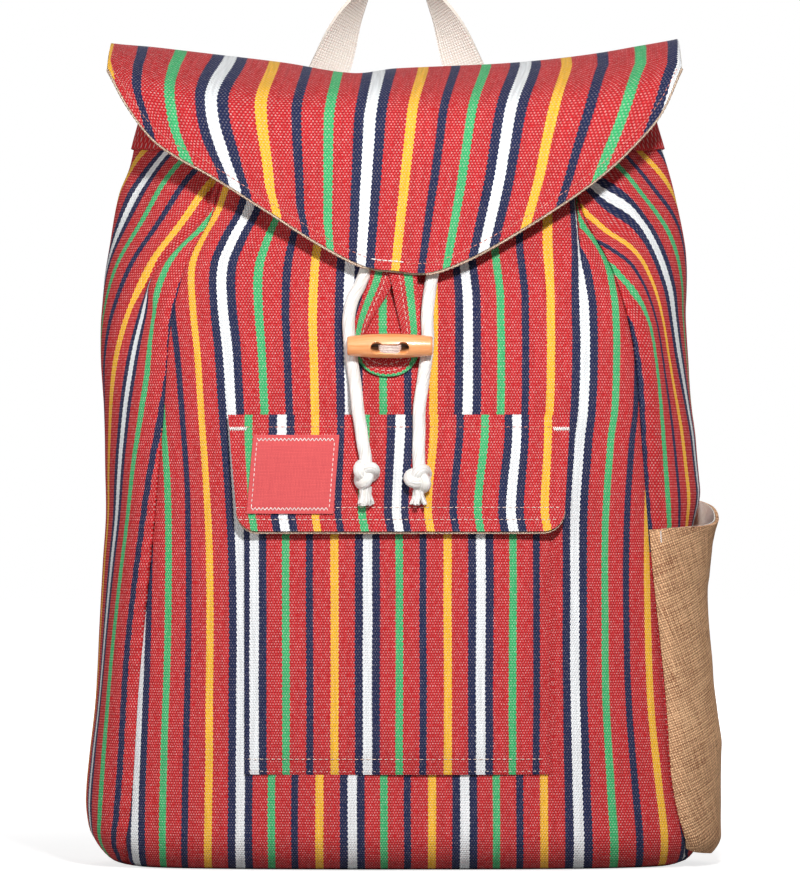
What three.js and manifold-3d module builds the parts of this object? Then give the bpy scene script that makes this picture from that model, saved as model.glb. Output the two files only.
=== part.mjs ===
// Flap-top drawstring rucksack in striped cotton canvas, stuffed and standing on its base.
// Millimetres, +Z up. The front faces -Y and the middle of the base's underside is the origin.
import * as THREE from "three";
import { mergeVertices } from "three/addons/utils/BufferGeometryUtils.js";
import Module from "manifold-3d";

const wasm = await Module();
wasm.setup();

// Cloth, webbing, cord and the clearances between them
const CANVAS = 1.6;
const LINING = 1.0;
const WEBBING = 2.2;
const BURLAP = 1.8;
const CORD_DIAMETER = 6.2;
const GAP = 0.3; // between edges and plies that are sewn together
const LAY = 0.5; // between a piece and the cloth that it lies on

// Body
const BAG_WIDTH = 316;
const FRONT_DEPTH = 72;
const BACK_DEPTH = 60;
const BODY_HEIGHT = 384;
const BASE_ROUNDING = 20;
const FRONT_SQUARENESS = 2.8;
const BACK_SQUARENESS = 3.6;
const GATHER_DEPTH = 4;
const GATHER_REACH = 94; // how far down from the mouth the gathers run
const GATHER_START = BODY_HEIGHT - GATHER_REACH;
const FRONT_GATHERS = 6;
const SIDE_GATHERS = 3;
const BACK_GATHERS = 4;
const COLUMNS_PER_GATHER = 3;
const ROUNDING_ROWS = 3;
const WALL_ROWS = 7;
const ROW_CROWDING = 1.4; // how much closer the wall's rows come towards the mouth

// The stuffed body's form up its height, each as a share of BODY_HEIGHT, BAG_WIDTH or its depth.
// The two seams are shares of the half width, and they draw together where the mouth is gathered.
const FORM = [
  { at: 0.0, width: 1.0, front: 0.94, back: 1.0, frontSeam: 0.91, backSeam: 0.9 },
  { at: 0.09, width: 0.998, front: 0.98, back: 1.0, frontSeam: 0.86, backSeam: 0.89 },
  { at: 0.28, width: 0.972, front: 1.0, back: 1.0, frontSeam: 0.86, backSeam: 0.88 },
  { at: 0.56, width: 0.952, front: 0.99, back: 0.98, frontSeam: 0.825, backSeam: 0.87 },
  { at: 0.78, width: 0.945, front: 0.86, back: 0.92, frontSeam: 0.73, backSeam: 0.86 },
  { at: 0.9, width: 0.9, front: 0.68, back: 0.8, frontSeam: 0.65, backSeam: 0.85 },
  { at: 1.0, width: 0.835, front: 0.5, back: 0.64, frontSeam: 0.58, backSeam: 0.84 },
];

// Drawstring casing
const CASING_DROP = 16;
const CHANNEL_EASE = 0.9;
const CHANNEL_LIFT = 6;
const EYELET_OFFSET = 16;
const EYELET_EASE = 0.5;
const CHANNEL_SIDES = 3; // facets of the fold over the channel

// Flap
const FLAP_HALF_WIDTH = 148;
const FLAP_SEAM_HALF_WIDTH = 116;
const FLAP_SEAM_DROP = 36; // below the mouth
const FLAP_RIDGE_RISE = 21; // above the mouth
const FLAP_DROP = 103; // from its ridge to its tip
const FLAP_SEAM_HEIGHT = BODY_HEIGHT - FLAP_SEAM_DROP;
const FLAP_RIDGE_HEIGHT = BODY_HEIGHT + FLAP_RIDGE_RISE;
const FLAP_TIP_HEIGHT = FLAP_RIDGE_HEIGHT - FLAP_DROP;
const FLAP_OVERHANG = 72; // how far the hanging tip stands in front of the middle plane
const FLAP_SET_BACK = 22;
const FLAP_EASE = 2; // how loosely the flap lies on the back and on the casing there
const HORN_RISE = 13;
const LINING_SHOW = 0.003; // share of the flap by which its lining shows at the edge
const FLAP_COLUMNS = 16;
const FLAP_ROWS = 12;
const FLAP_REAR_TURN = 0.3; // share of the rear at which it starts to leave the back's curve
// The flap's line from behind the mouth to its tip: shares of its overhang and of its drop from the ridge
const FLAP_LINE = [
  [-0.36, 0.025], [0, 0], [0.46, 0.05], [0.82, 0.18], [0.93, 0.4], [0.97, 0.7], [1, 1],
];
// How much of its full drop the flap still has, from its middle out to its horns
const FLAP_EDGE = [
  [0, 1.0], [0.1, 0.985], [0.25, 0.89], [0.45, 0.71],
  [0.63, 0.54], [0.82, 0.37], [0.92, 0.22], [1.0, 0.06],
];

// Toggle and the loop that goes over it
const TOGGLE_LENGTH = 43;
const TOGGLE_DIAMETER = 12.4;
const TOGGLE_END_DIAMETER = 8.3;
const TOGGLE_X = -3.6;
const TOGGLE_DROP = 36.2; // below the flap's tip
const TOGGLE_Z = FLAP_TIP_HEIGHT - TOGGLE_DROP;
const TOGGLE_HOLE = 4.6;
const TOGGLE_HOLE_SPACING = 13.4;
const TOGGLE_SLOT_DEPTH = 2.6;
const TOGGLE_SLOT_WIDTH = 4.1;
const TOGGLE_RINGS = 6;
const THREAD_DIAMETER = 2.6;
const THREAD_STEPS = 14;
const LOOP_THICKNESS = 2.2;
const LOOP_HALF_WIDTH = 16;
const LOOP_NECK_HALF_WIDTH = 11.5;
const LOOP_X = -4.7;
const LOOP_NECK_X = -1;
const LOOP_STRAND = 6;
const LOOP_BEND_DROP = 15.3; // below the toggle
const LOOP_EYE_RISE = 25.2; // above the toggle
const LOOP_BOTTOM = TOGGLE_Z - LOOP_BEND_DROP;
const LOOP_HOLE_TOP = TOGGLE_Z + LOOP_EYE_RISE;
const LOOP_TUCK = 12; // how far the loop goes up under the flap
const LOOP_SPREAD = 0.5; // share of the way from the flap's tip to the toggle at which the loop spreads
const LOOP_EYE_SPREAD = 0.4; // the same for its eye, from the toggle up to the eye's point

// Front patch pocket and its flap
const POCKET_WIDTH = 154;
const POCKET_BOTTOM = 49.5;
const POCKET_COLUMNS = 10;
const POCKET_ROWS = 7;
const POCKET_FLAP_WIDTH = 173;
const POCKET_FLAP_DROP = 19.5; // below the loop
const POCKET_FLAP_HEIGHT = 60;
const POCKET_TUCK = 9; // how far the pocket's mouth lies below its flap's seam
const POCKET_FLAP_TOP = LOOP_BOTTOM - POCKET_FLAP_DROP;
const POCKET_FLAP_BOTTOM = POCKET_FLAP_TOP - POCKET_FLAP_HEIGHT;
const POCKET_TOP = POCKET_FLAP_TOP - POCKET_TUCK;
const POCKET_FLAP_CORNER = 11;
const POCKET_FLAP_TAPER = 2;
const POCKET_FLAP_FLARE = 2.2;
const POCKET_FLAP_COLUMNS = 9; // between its round corners
const POCKET_FLAP_ROWS = 4;
const CORNER_STEPS = 3;
const LABEL_WIDTH = 43;
const LABEL_HEIGHT = 40;
const LABEL_THICKNESS = 0.8;
const LABEL_X = -52.8;
const LABEL_DROP = 30; // of its middle, below the pocket flap's seam
const LABEL_Z = POCKET_FLAP_TOP - LABEL_DROP;
const LABEL_COLUMNS = 3;
const LABEL_ROWS = 2;

// Side pocket on the right gusset
const SIDE_POCKET_FRONT_TOP = 173;
const SIDE_POCKET_BACK_TOP = 188;
const SIDE_POCKET_EASE = 5;
const SIDE_POCKET_GAPE = 6;
const SIDE_POCKET_SWELL = 90; // run up the wall over which the pocket swells out
const SIDE_POCKET_FULLNESS = 0.7; // power that rounds its swell out towards the seams
const SIDE_POCKET_ROWS = 6;

// Carrying handle and shoulder straps
const HANDLE_WIDTH = 21;
const HANDLE_SEAM_HALF_SPAN = 48;
const HANDLE_RIDGE_HALF_SPAN = 36;
const HANDLE_RISE = 69; // above the flap's ridge
const HANDLE_TOP = FLAP_RIDGE_HEIGHT + HANDLE_RISE;
const HANDLE_LIFT = 6; // how far above the flap's ridge the handle stands upright
const HANDLE_SHOULDER_SPAN = 0.64;
const HANDLE_SHOULDER_RISE = 0.55;
const HANDLE_SEWN = [0.015, 0.08, 0.14]; // shares down the flap at which the handle is sewn on
const HANDLE_TURN = [0.3, 0.96]; // share of the way up its arch at which it starts and ends turning on edge
const HANDLE_STEPS = 30;
const STRAP_WIDTH = 38;
const STRAP_TOP_X = 52;
const STRAP_BOTTOM_X = 112;
const STRAP_BOTTOM_Z = 32;
const STRAP_BOW = 62;
const STRAP_TUCK = 4; // how far below the flap's seam the straps are sewn on
const STRAP_LEAVES = [0.05, 0.5]; // shares of its length over which a strap leaves the back
const STRAP_RETURNS = [0.56, 0.94]; // and over which it comes back to it
const STRAP_POINTS = 14;
const STRAP_STEPS = 22;

// The drawstring's free ends: x, height and how far ahead of the front panel, from eyelet to knot
const LEFT_END = [
  [-16, 388, 12], [-16, 385, 16.5], [-16, 380, 18.8], [-15.9, 373, 19.3], [-15.7, 364, 17.6],
  [-15.4, 352, 14.4], [-15, 340, 10.8], [-14.6, 328, 6.9], [-14.6, 316, 4.2], [-15.8, 304.5, 3.8],
  [-20, 297, 3.8], [-24.5, 290.5, 3.8], [-27, 281.5, 3.8], [-26.6, 271.5, 3.8], [-23.8, 260, 3.8],
  [-21.5, 249, 4.2], [-20.3, 240, 7], [-19.3, 231, 9.6], [-18.4, 218.5, 10.4], [-17.2, 209.2, 11.5],
];
const RIGHT_END = [
  [16, 388, 12], [16.2, 385, 16.5], [16.5, 380, 18.8], [17, 373, 19.3], [17.6, 364, 17.6],
  [18.2, 352, 14.4], [18.6, 340, 10.8], [18.8, 328, 6.9], [18.8, 316, 4.2], [18.4, 304.5, 3.8],
  [17, 297, 3.8], [15.9, 289, 3.8], [15.4, 280, 3.8], [15.5, 271, 3.8], [14.9, 260, 3.8],
  [13.2, 249, 4.2], [11.9, 240, 7], [11.2, 231, 9.6], [10.8, 218.5, 10.4], [10.5, 208.2, 11.5],
];
const EYELET_REACH = 8; // how far an end goes straight out of its eyelet
const CORD_SIDES = 8;
const CORD_STEPS = 24;

// Knots and their frayed tails
const KNOT_WIDTH = 13.5;
const KNOT_DEPTH = 12;
const KNOT_HEIGHT = 15;
const KNOT_TURN_RADIUS = 4.5; // of the one turn of cord that stands out of the knot
const KNOT_TURN_DIAMETER = 5.2;
const KNOT_TURN_TILT = 1.3;
const KNOT_LEAN = 0.5;
const KNOT_TAIL = 16.5;
const KNOT_TAIL_SPREAD = 9;
const KNOT_FORWARD = 1.6;

const canvas = new THREE.MeshStandardMaterial({ color: 0xc8282d, roughness: 0.9, metalness: 0 });
const lining = new THREE.MeshStandardMaterial({ color: 0xd9c3a2, roughness: 0.95, metalness: 0 });
const natural = new THREE.MeshStandardMaterial({ color: 0xe8dcd0, roughness: 0.9, metalness: 0 });
const burlap = new THREE.MeshStandardMaterial({ color: 0xb08a62, roughness: 1, metalness: 0 });
const wood = new THREE.MeshStandardMaterial({ color: 0xf0a064, roughness: 0.45, metalness: 0 });
const cotton = new THREE.MeshStandardMaterial({ color: 0xf8f6f0, roughness: 0.9, metalness: 0 });
const badge = new THREE.MeshStandardMaterial({ color: 0xe4555a, roughness: 0.85, metalness: 0 });

const smooth = (from, to, value) => THREE.MathUtils.smoothstep(value, from, to);
const mix = THREE.MathUtils.lerp;
const shares = (steps) => Array.from({ length: steps + 1 }, (_, i) => i / steps);
const between = (from, to, steps) => shares(steps).map((share) => mix(from, to, share));

// Height of a smooth curve through a few (x, y) points, straight beyond the last one.
function through(points, x) {
  const last = points.length - 1;
  const found = points.findIndex((point, k) => k > 0 && x <= point[0]);
  const end = found < 0 ? last : found;
  const slopeAt = (k) => {
    const before = points[Math.max(k - 1, 0)];
    const after = points[Math.min(k + 1, last)];
    return (after[1] - before[1]) / (after[0] - before[0]);
  };
  const [x0, y0] = points[end - 1];
  const [x1, y1] = points[end];
  if (x > x1) return y1 + slopeAt(end) * (x - x1);
  const span = x1 - x0;
  const s = (x - x0) / span;
  const rise = (3 - 2 * s) * s * s;
  const leave = s * (1 - s) * (1 - s) * span * slopeAt(end - 1);
  const arrive = s * s * (s - 1) * span * slopeAt(end);
  return mix(y0, y1, rise) + leave + arrive;
}

// Indexed geometry of a closed solid, turned so that its faces point out.
function closedGeometry(points, triangles) {
  const volume = triangles.reduce((sum, [a, b, c]) => {
    const across = new THREE.Vector3().crossVectors(points[b], points[c]);
    return sum + points[a].dot(across);
  }, 0);
  const facing = volume < 0 ? triangles.map(([a, b, c]) => [a, c, b]) : triangles;
  const geometry = new THREE.BufferGeometry().setFromPoints(points);
  geometry.setIndex(facing.flat());
  geometry.computeVertexNormals();
  return geometry;
}

// Two triangles over four corners, split along the shorter way across.
const firstIsShorter = (points, a, b, c, d) =>
  points[a].distanceTo(points[c]) <= points[b].distanceTo(points[d]);
const splitQuad = (first, a, b, c, d) => (first ? [[a, b, c], [a, c, d]] : [[a, b, d], [b, c, d]]);
const quad = (points, ...corners) => splitQuad(firstIsShorter(points, ...corners), ...corners);

// A ply of cloth: place(u, v, height) gives a point of it, from its under face at low to its face at high.
// Plies on one grid are split alike, by the shape at height 0, so that they nest.
function plySolid(place, us, vs, low, high) {
  const wide = us.length;
  const tall = vs.length;
  const face = (height) => vs.flatMap((v) => us.map((u) => place(u, v, height)));
  const points = [...face(high), ...face(low)];
  const level = face(0);
  const over = (i, j) => j * wide + i;
  const under = wide * tall;
  const triangles = [];
  for (let j = 0; j + 1 < tall; j++) {
    for (let i = 0; i + 1 < wide; i++) {
      const [a, b, c, d] = [over(i, j), over(i + 1, j), over(i + 1, j + 1), over(i, j + 1)];
      const first = firstIsShorter(level, a, b, c, d);
      triangles.push(...splitQuad(first, a, b, c, d));
      triangles.push(...splitQuad(first, a + under, d + under, c + under, b + under));
    }
  }
  const rim = [
    ...us.slice(1).map((_, i) => over(i, 0)),
    ...vs.slice(1).map((_, j) => over(wide - 1, j)),
    ...us.slice(1).map((_, i) => over(wide - 1 - i, tall - 1)),
    ...vs.slice(1).map((_, j) => over(0, tall - 1 - j)),
  ];
  rim.forEach((p, k) => {
    const q = rim[(k + 1) % rim.length];
    triangles.push(...quad(points, q, p, p + under, q + under));
  });
  return closedGeometry(points, triangles);
}

// A section carried from ring to ring: open runs get flat ends, and a closed run joins its ends.
function sweptSolid(rings, closed) {
  const size = rings[0].length;
  const points = rings.flat();
  const triangles = [];
  const last = closed ? rings.length : rings.length - 1;
  for (let i = 0; i < last; i++) {
    const here = i * size;
    const next = ((i + 1) % rings.length) * size;
    for (let j = 0; j < size; j++) {
      const k = (j + 1) % size;
      triangles.push(...quad(points, here + j, here + k, next + k, next + j));
    }
  }
  const far = last * size;
  for (let j = 1; !closed && j + 1 < size; j++) {
    triangles.push([0, j + 1, j], [far, far + j, far + j + 1]);
  }
  return closedGeometry(points, triangles);
}

// Flat band along a curve, with across(share) for the direction of its width.
function bandSolid(curve, across, width, thickness, steps) {
  const rings = shares(steps).map((share) => {
    const centre = curve.getPointAt(share);
    const along = curve.getTangentAt(share);
    const side = across(share).projectOnPlane(along).setLength(width / 2);
    const up = new THREE.Vector3().crossVectors(along, side).setLength(thickness / 2);
    const corner = (s, h) => centre.clone().addScaledVector(side, s).addScaledVector(up, h);
    return [corner(-1, -1), corner(1, -1), corner(1, 1), corner(-1, 1)];
  });
  return sweptSolid(rings, false);
}

// Round cord along a smooth curve through points.
function cordSolid(points, diameter, steps) {
  const round = new THREE.Shape().absarc(0, 0, diameter / 2, 0, 2 * Math.PI);
  const extrudePath = new THREE.CatmullRomCurve3(points);
  return new THREE.ExtrudeGeometry(round, { steps, extrudePath, curveSegments: CORD_SIDES / 2 });
}

function toManifold(geometry) {
  const bare = geometry.clone();
  bare.deleteAttribute("normal");
  bare.deleteAttribute("uv");
  const merged = mergeVertices(bare, 1e-4);
  const vertProperties = new Float32Array(merged.attributes.position.array);
  const triVerts = new Uint32Array(merged.index.array);
  return new wasm.Manifold(new wasm.Mesh({ numProp: 3, vertProperties, triVerts }));
}

function fromManifold(solid) {
  const mesh = solid.getMesh();
  const geometry = new THREE.BufferGeometry();
  geometry.setAttribute("position", new THREE.BufferAttribute(mesh.vertProperties, 3));
  geometry.setIndex(new THREE.BufferAttribute(mesh.triVerts, 1));
  geometry.computeVertexNormals();
  return geometry;
}

const bag = new THREE.Group();

function add(name, geometry, material, parent = bag) {
  const mesh = new THREE.Mesh(geometry, material);
  mesh.name = name;
  parent.add(mesh);
}

// Way up a side wall, in millimetres from the base's edge: round the base corner and then up.
const CORNER_RUN = (BASE_ROUNDING * Math.PI) / 2;
const runAt = (z) => CORNER_RUN + z - BASE_ROUNDING;
const TOP_RUN = runAt(BODY_HEIGHT);

function wallAt(run) {
  if (run > CORNER_RUN) return { z: BASE_ROUNDING + run - CORNER_RUN, inset: 0 };
  const turn = run / BASE_ROUNDING;
  return { z: BASE_ROUNDING * (1 - Math.cos(turn)), inset: BASE_ROUNDING * (1 - Math.sin(turn)) };
}

const formCurves = ["width", "front", "back", "frontSeam", "backSeam"].map((key) => [
  key,
  FORM.map((station) => [station.at, station[key]]),
]);

// The body's outline at one place up the wall, in millimetres, drawn in by shrink.
function sectionAt(run, shrink = 0) {
  const { z, inset } = wallAt(run);
  const shareOf = ([key, curve]) => [key, through(curve, z / BODY_HEIGHT)];
  const share = Object.fromEntries(formCurves.map(shareOf));
  const half = (share.width * BAG_WIDTH) / 2 - inset - shrink;
  return {
    z,
    half,
    front: share.front * FRONT_DEPTH - inset - shrink,
    back: share.back * BACK_DEPTH - inset - shrink,
    frontSeam: share.frontSeam * half,
    backSeam: share.backSeam * half,
  };
}

// Bulged outline of power p: 1 in the middle, falling to 0 at the half width.
const bulge = (share, p) => (1 - Math.min(1, Math.abs(share)) ** p) ** (1 / p);

function frontPoint(section, u) {
  const x = (2 * u - 1) * (section.frontSeam - GAP / 2);
  return new THREE.Vector3(x, -section.front * bulge(x / section.half, FRONT_SQUARENESS), section.z);
}

function backPoint(section, u) {
  const x = (1 - 2 * u) * (section.backSeam - GAP / 2);
  return new THREE.Vector3(x, section.back * bulge(x / section.half, BACK_SQUARENESS), section.z);
}

// From the front seam round the side to the back seam, by direction from the middle of the bag.
function rightPoint(section, u) {
  const frontY = -section.front * bulge(section.frontSeam / section.half, FRONT_SQUARENESS);
  const backY = section.back * bulge(section.backSeam / section.half, BACK_SQUARENESS);
  const first = Math.atan2(frontY, section.frontSeam) + GAP / 2 / Math.hypot(frontY, section.frontSeam);
  const last = Math.atan2(backY, section.backSeam) - GAP / 2 / Math.hypot(backY, section.backSeam);
  const angle = mix(first, last, u);
  const [depth, power] = angle < 0 ? [section.front, FRONT_SQUARENESS] : [section.back, BACK_SQUARENESS];
  const across = (Math.cos(angle) / section.half) ** power;
  const reach = (across + Math.abs(Math.sin(angle) / depth) ** power) ** (-1 / power);
  return new THREE.Vector3(reach * Math.cos(angle), reach * Math.sin(angle), section.z);
}

const mirrored = (point) => new THREE.Vector3(-point.x, point.y, point.z);
const leftPoint = (section, u) => mirrored(rightPoint(section, 1 - u));

// Panels in order round the bag, seen from above anticlockwise from the front's left seam
const PANELS = {
  front: { point: frontPoint, gathers: FRONT_GATHERS },
  right: { point: rightPoint, gathers: SIDE_GATHERS },
  back: { point: backPoint, gathers: BACK_GATHERS },
  left: { point: leftPoint, gathers: SIDE_GATHERS },
};
const columnsOf = (panel) => shares(panel.gathers * COLUMNS_PER_GATHER);

const NUDGE = 1e-3;

// Point at a height off a panel as it would be without its gathers
function offPanel(panel, u, run, height) {
  const at = (du, dr) => panel.point(sectionAt(run + dr), u + du);
  const along = at(NUDGE, 0).sub(at(-NUDGE, 0));
  const up = at(0, NUDGE).sub(at(0, -NUDGE));
  const normal = along.cross(up).normalize();
  return at(0, 0).addScaledVector(normal, height);
}

// Point at a height off a panel's face: gathers sink the cloth in folds that deepen up to the mouth.
function onPanel(panel, u, run, height) {
  const fold = 0.5 + 0.5 * Math.cos(2 * Math.PI * panel.gathers * u);
  const depth = GATHER_DEPTH * smooth(GATHER_START, BODY_HEIGHT, wallAt(run).z) * fold;
  return offPanel(panel, u, run, height - depth);
}

// Point at a height off the front's face, or off the back without its gathers, by its place in the view
const frontShare = (x, z) => 0.5 + x / 2 / (sectionAt(runAt(z)).frontSeam - GAP / 2);
const backShare = (x, z) => 0.5 - x / 2 / (sectionAt(runAt(z)).backSeam - GAP / 2);
const onFront = (x, z, height) => onPanel(PANELS.front, frontShare(x, z), runAt(z), height);
const offBack = (x, z, height) => offPanel(PANELS.back, backShare(x, z), runAt(z), height);

// Runs up the wall at which the drawstring casing begins and at which it opens into its channel
const CHANNEL_RADIUS = CORD_DIAMETER / 2 + CHANNEL_EASE;
const HEM_RUN = TOP_RUN - CASING_DROP;
const NECK_RUN = TOP_RUN - CHANNEL_RADIUS / 2;

// Body panels: rows are close at the rounded base edge and again towards the gathered mouth
const crowded = (share) => 1 - (1 - share) ** ROW_CROWDING;
const wallRuns = [
  ...between(0, CORNER_RUN, ROUNDING_ROWS),
  ...shares(WALL_ROWS).slice(1).map((share) => mix(CORNER_RUN, HEM_RUN, crowded(share))),
  NECK_RUN,
  TOP_RUN,
];
const panelNames = { front: "front_panel", right: "right_gusset", back: "back_panel", left: "left_gusset" };
for (const [key, panel] of Object.entries(PANELS)) {
  const place = (u, run, height) => onPanel(panel, u, run, height);
  add(panelNames[key], plySolid(place, columnsOf(panel), wallRuns, -CANVAS, 0), canvas);
}

// Every column round the bag, so that what follows the walls has their facets
const columnsRound = (panel) => columnsOf(panel).map((u) => ({ panel, u }));
const roundColumns = Object.values(PANELS).flatMap(columnsRound);

// Base panel, flat inside the turned-in edges of the walls
const baseSection = sectionAt(0, GAP);
const baseOutline = roundColumns.map(({ panel, u }) => panel.point(baseSection, u));
const baseShape = new THREE.Shape(baseOutline.map((point) => new THREE.Vector2(point.x, point.y)));
add("base_panel", new THREE.ExtrudeGeometry(baseShape, { depth: CANVAS, bevelEnabled: false }), canvas);

// Drawstring casing: a strip folded over the mouth's edge, with the channel for the cord in its fold
const CHANNEL_RUN = TOP_RUN + CHANNEL_LIFT;
const MID_PLY = -CANVAS / 2;

function casingWall(radius, leg) {
  const round = shares(CHANNEL_SIDES).map((share) => {
    const turn = Math.PI * share;
    return [CHANNEL_RUN + radius * Math.sin(turn), MID_PLY + radius * Math.cos(turn)];
  });
  const outside = [HEM_RUN, NECK_RUN].map((run) => [run, MID_PLY + leg]);
  const inside = [NECK_RUN, HEM_RUN].map((run) => [run, MID_PLY - leg]);
  return [...outside, ...round, ...inside];
}

const innerLeg = CANVAS / 2 + GAP;
const casingSection = [
  ...casingWall(CHANNEL_RADIUS + CANVAS, innerLeg + CANVAS),
  ...casingWall(CHANNEL_RADIUS, innerLeg).reverse(),
];
const casingRings = roundColumns.map(({ panel, u }) =>
  casingSection.map(([run, height]) => onPanel(panel, u, run, height)),
);
const channelHeight = wallAt(CHANNEL_RUN).z;
const eyeletDepth = FRONT_DEPTH;
const eyelets = [-EYELET_OFFSET, EYELET_OFFSET].map((x) => {
  const bore = new THREE.CylinderGeometry(1, 1, eyeletDepth, 12);
  bore.scale(CORD_DIAMETER / 2 + EYELET_EASE, 1, CORD_DIAMETER / 2 + EYELET_EASE);
  const middle = onFront(x, channelHeight, MID_PLY);
  bore.translate(x, middle.y - eyeletDepth / 2, middle.z);
  return toManifold(bore);
});
const casing = toManifold(sweptSolid(casingRings, true));
const piercedCasing = eyelets.reduce((solid, bore) => solid.subtract(bore), casing);
add("drawstring_casing", fromManifold(piercedCasing), canvas);

// Flap: a profile from the back seam over the mouth to the hanging tip, carried across the bag
const casingTop = channelHeight + CHANNEL_RADIUS + CANVAS;
const rearSeam = offBack(0, FLAP_SEAM_HEIGHT, FLAP_EASE);
const rearHem = offBack(0, BODY_HEIGHT - CASING_DROP, CANVAS + GAP + FLAP_EASE);
const rearChannel = offBack(0, channelHeight, CHANNEL_RADIUS + CANVAS + FLAP_EASE);
const flapLine = FLAP_LINE.map(([reach, drop]) => {
  const height = mix(FLAP_RIDGE_HEIGHT, FLAP_TIP_HEIGHT, drop);
  return new THREE.Vector3(0, -FLAP_OVERHANG * reach, height);
});
const flapProfile = new THREE.CatmullRomCurve3([rearSeam, rearHem, rearChannel, ...flapLine]);

// Share of the profile's length at which it has dropped by a share of its full drop
const profileSteps = 400;
const profilePoints = flapProfile.getSpacedPoints(profileSteps);
const ridgeStep = profilePoints.reduce((best, point, i) => (point.z > profilePoints[best].z ? i : best), 0);
const ridgeShare = ridgeStep / profileSteps;

function flapReach(side) {
  const height = mix(FLAP_RIDGE_HEIGHT, FLAP_TIP_HEIGHT, through(FLAP_EDGE, side));
  const past = profilePoints.findIndex((point, i) => i > ridgeStep && point.z <= height);
  if (past < 0) return 1;
  const [above, below] = [profilePoints[past - 1].z, profilePoints[past].z];
  return (past - 1 + (above - height) / (above - below)) / profileSteps;
}

function flapPoint(u, v) {
  const side = Math.abs(u);
  const reach = THREE.MathUtils.clamp(v, 0, 1) * flapReach(side);
  const point = flapProfile.getPointAt(reach);
  point.x = u * mix(FLAP_SEAM_HALF_WIDTH, FLAP_HALF_WIDTH, smooth(0, ridgeShare, reach));
  const rear = sectionAt(runAt(Math.min(point.z, casingTop)));
  const behind = 1 - smooth(ridgeShare * FLAP_REAR_TURN, ridgeShare, reach);
  const rearCurve = rear.back * (1 - bulge((u * FLAP_SEAM_HALF_WIDTH) / rear.half, BACK_SQUARENESS));
  const ahead = smooth(ridgeShare, 1, reach);
  point.y += FLAP_SET_BACK * side ** 2 * ahead - rearCurve * behind;
  point.z += HORN_RISE * side ** 3 * smooth(FLAP_SEAM_HEIGHT, FLAP_RIDGE_HEIGHT, point.z);
  return point;
}

function onFlap(u, v, height) {
  const along = flapPoint(u + NUDGE, v).sub(flapPoint(u - NUDGE, v));
  const down = flapPoint(u, v + NUDGE).sub(flapPoint(u, v - NUDGE));
  const normal = down.cross(along).normalize();
  return flapPoint(u, v).addScaledVector(normal, height);
}

const flapColumns = between(-1, 1, FLAP_COLUMNS);
const flapRows = shares(FLAP_ROWS);
const outerRows = [...flapRows.slice(0, -1), 1 - LINING_SHOW];
const FLAP_FACE = LINING + LAY + CANVAS;
add("flap_lining", plySolid(onFlap, flapColumns, flapRows, 0, LINING), lining);
add("flap_outer", plySolid(onFlap, flapColumns, outerRows, LINING + LAY, FLAP_FACE), canvas);

// Front patch pocket, sewn flat on the front panel
const POCKET_FACE = LAY + CANVAS;
const pocketColumns = between(-POCKET_WIDTH / 2, POCKET_WIDTH / 2, POCKET_COLUMNS);
const pocketRows = between(POCKET_BOTTOM, POCKET_TOP, POCKET_ROWS);
add("front_pocket", plySolid(onFront, pocketColumns, pocketRows, LAY, POCKET_FACE), canvas);

// Pocket flap of two plies, with round lower corners and a lower edge that stands off a little
const POCKET_FLAP_HALF = POCKET_FLAP_WIDTH / 2;
const POCKET_FLAP_UNDER = POCKET_FACE + LAY;
const POCKET_FLAP_FACE = POCKET_FLAP_UNDER + LINING + GAP + CANVAS;

function overPocket(x, z, height) {
  const down = (POCKET_FLAP_TOP - z) / POCKET_FLAP_HEIGHT;
  return onFront(x, z, height + POCKET_FLAP_FLARE * down ** 2);
}

function onPocketFlap(u, v, height) {
  const past = Math.max(0, Math.abs(u) * POCKET_FLAP_HALF - (POCKET_FLAP_HALF - POCKET_FLAP_CORNER));
  const rise = POCKET_FLAP_CORNER - Math.sqrt(Math.max(0, POCKET_FLAP_CORNER ** 2 - past ** 2));
  const z = mix(POCKET_FLAP_BOTTOM + rise, POCKET_FLAP_TOP, v);
  return overPocket(u * (POCKET_FLAP_HALF - POCKET_FLAP_TAPER * (1 - v)), z, height);
}

const straight = 1 - POCKET_FLAP_CORNER / POCKET_FLAP_HALF;
const cornerShares = shares(CORNER_STEPS).map((share) => mix(straight, 1, Math.sin((Math.PI / 2) * share)));
const pocketFlapColumns = [
  ...cornerShares.toReversed().map((share) => -share),
  ...between(-straight, straight, POCKET_FLAP_COLUMNS).slice(1, -1),
  ...cornerShares,
];
const pocketFlapRows = shares(POCKET_FLAP_ROWS);
const pocketFlapOuterRows = [2 * LINING_SHOW, ...pocketFlapRows.slice(1)];
const POCKET_FLAP_MID = POCKET_FLAP_UNDER + LINING;
const pocketFlapPly = (rows, low, high) => plySolid(onPocketFlap, pocketFlapColumns, rows, low, high);
add("pocket_flap_lining", pocketFlapPly(pocketFlapRows, POCKET_FLAP_UNDER, POCKET_FLAP_MID), lining);
add("pocket_flap", pocketFlapPly(pocketFlapOuterRows, POCKET_FLAP_MID + GAP, POCKET_FLAP_FACE), canvas);

// Label patch, bare
const labelColumns = between(LABEL_X - LABEL_WIDTH / 2, LABEL_X + LABEL_WIDTH / 2, LABEL_COLUMNS);
const labelRows = between(LABEL_Z - LABEL_HEIGHT / 2, LABEL_Z + LABEL_HEIGHT / 2, LABEL_ROWS);
const labelFoot = POCKET_FLAP_FACE + LAY;
const labelFace = labelFoot + LABEL_THICKNESS;
add("label_patch", plySolid(overPocket, labelColumns, labelRows, labelFoot, labelFace), badge);

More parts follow.
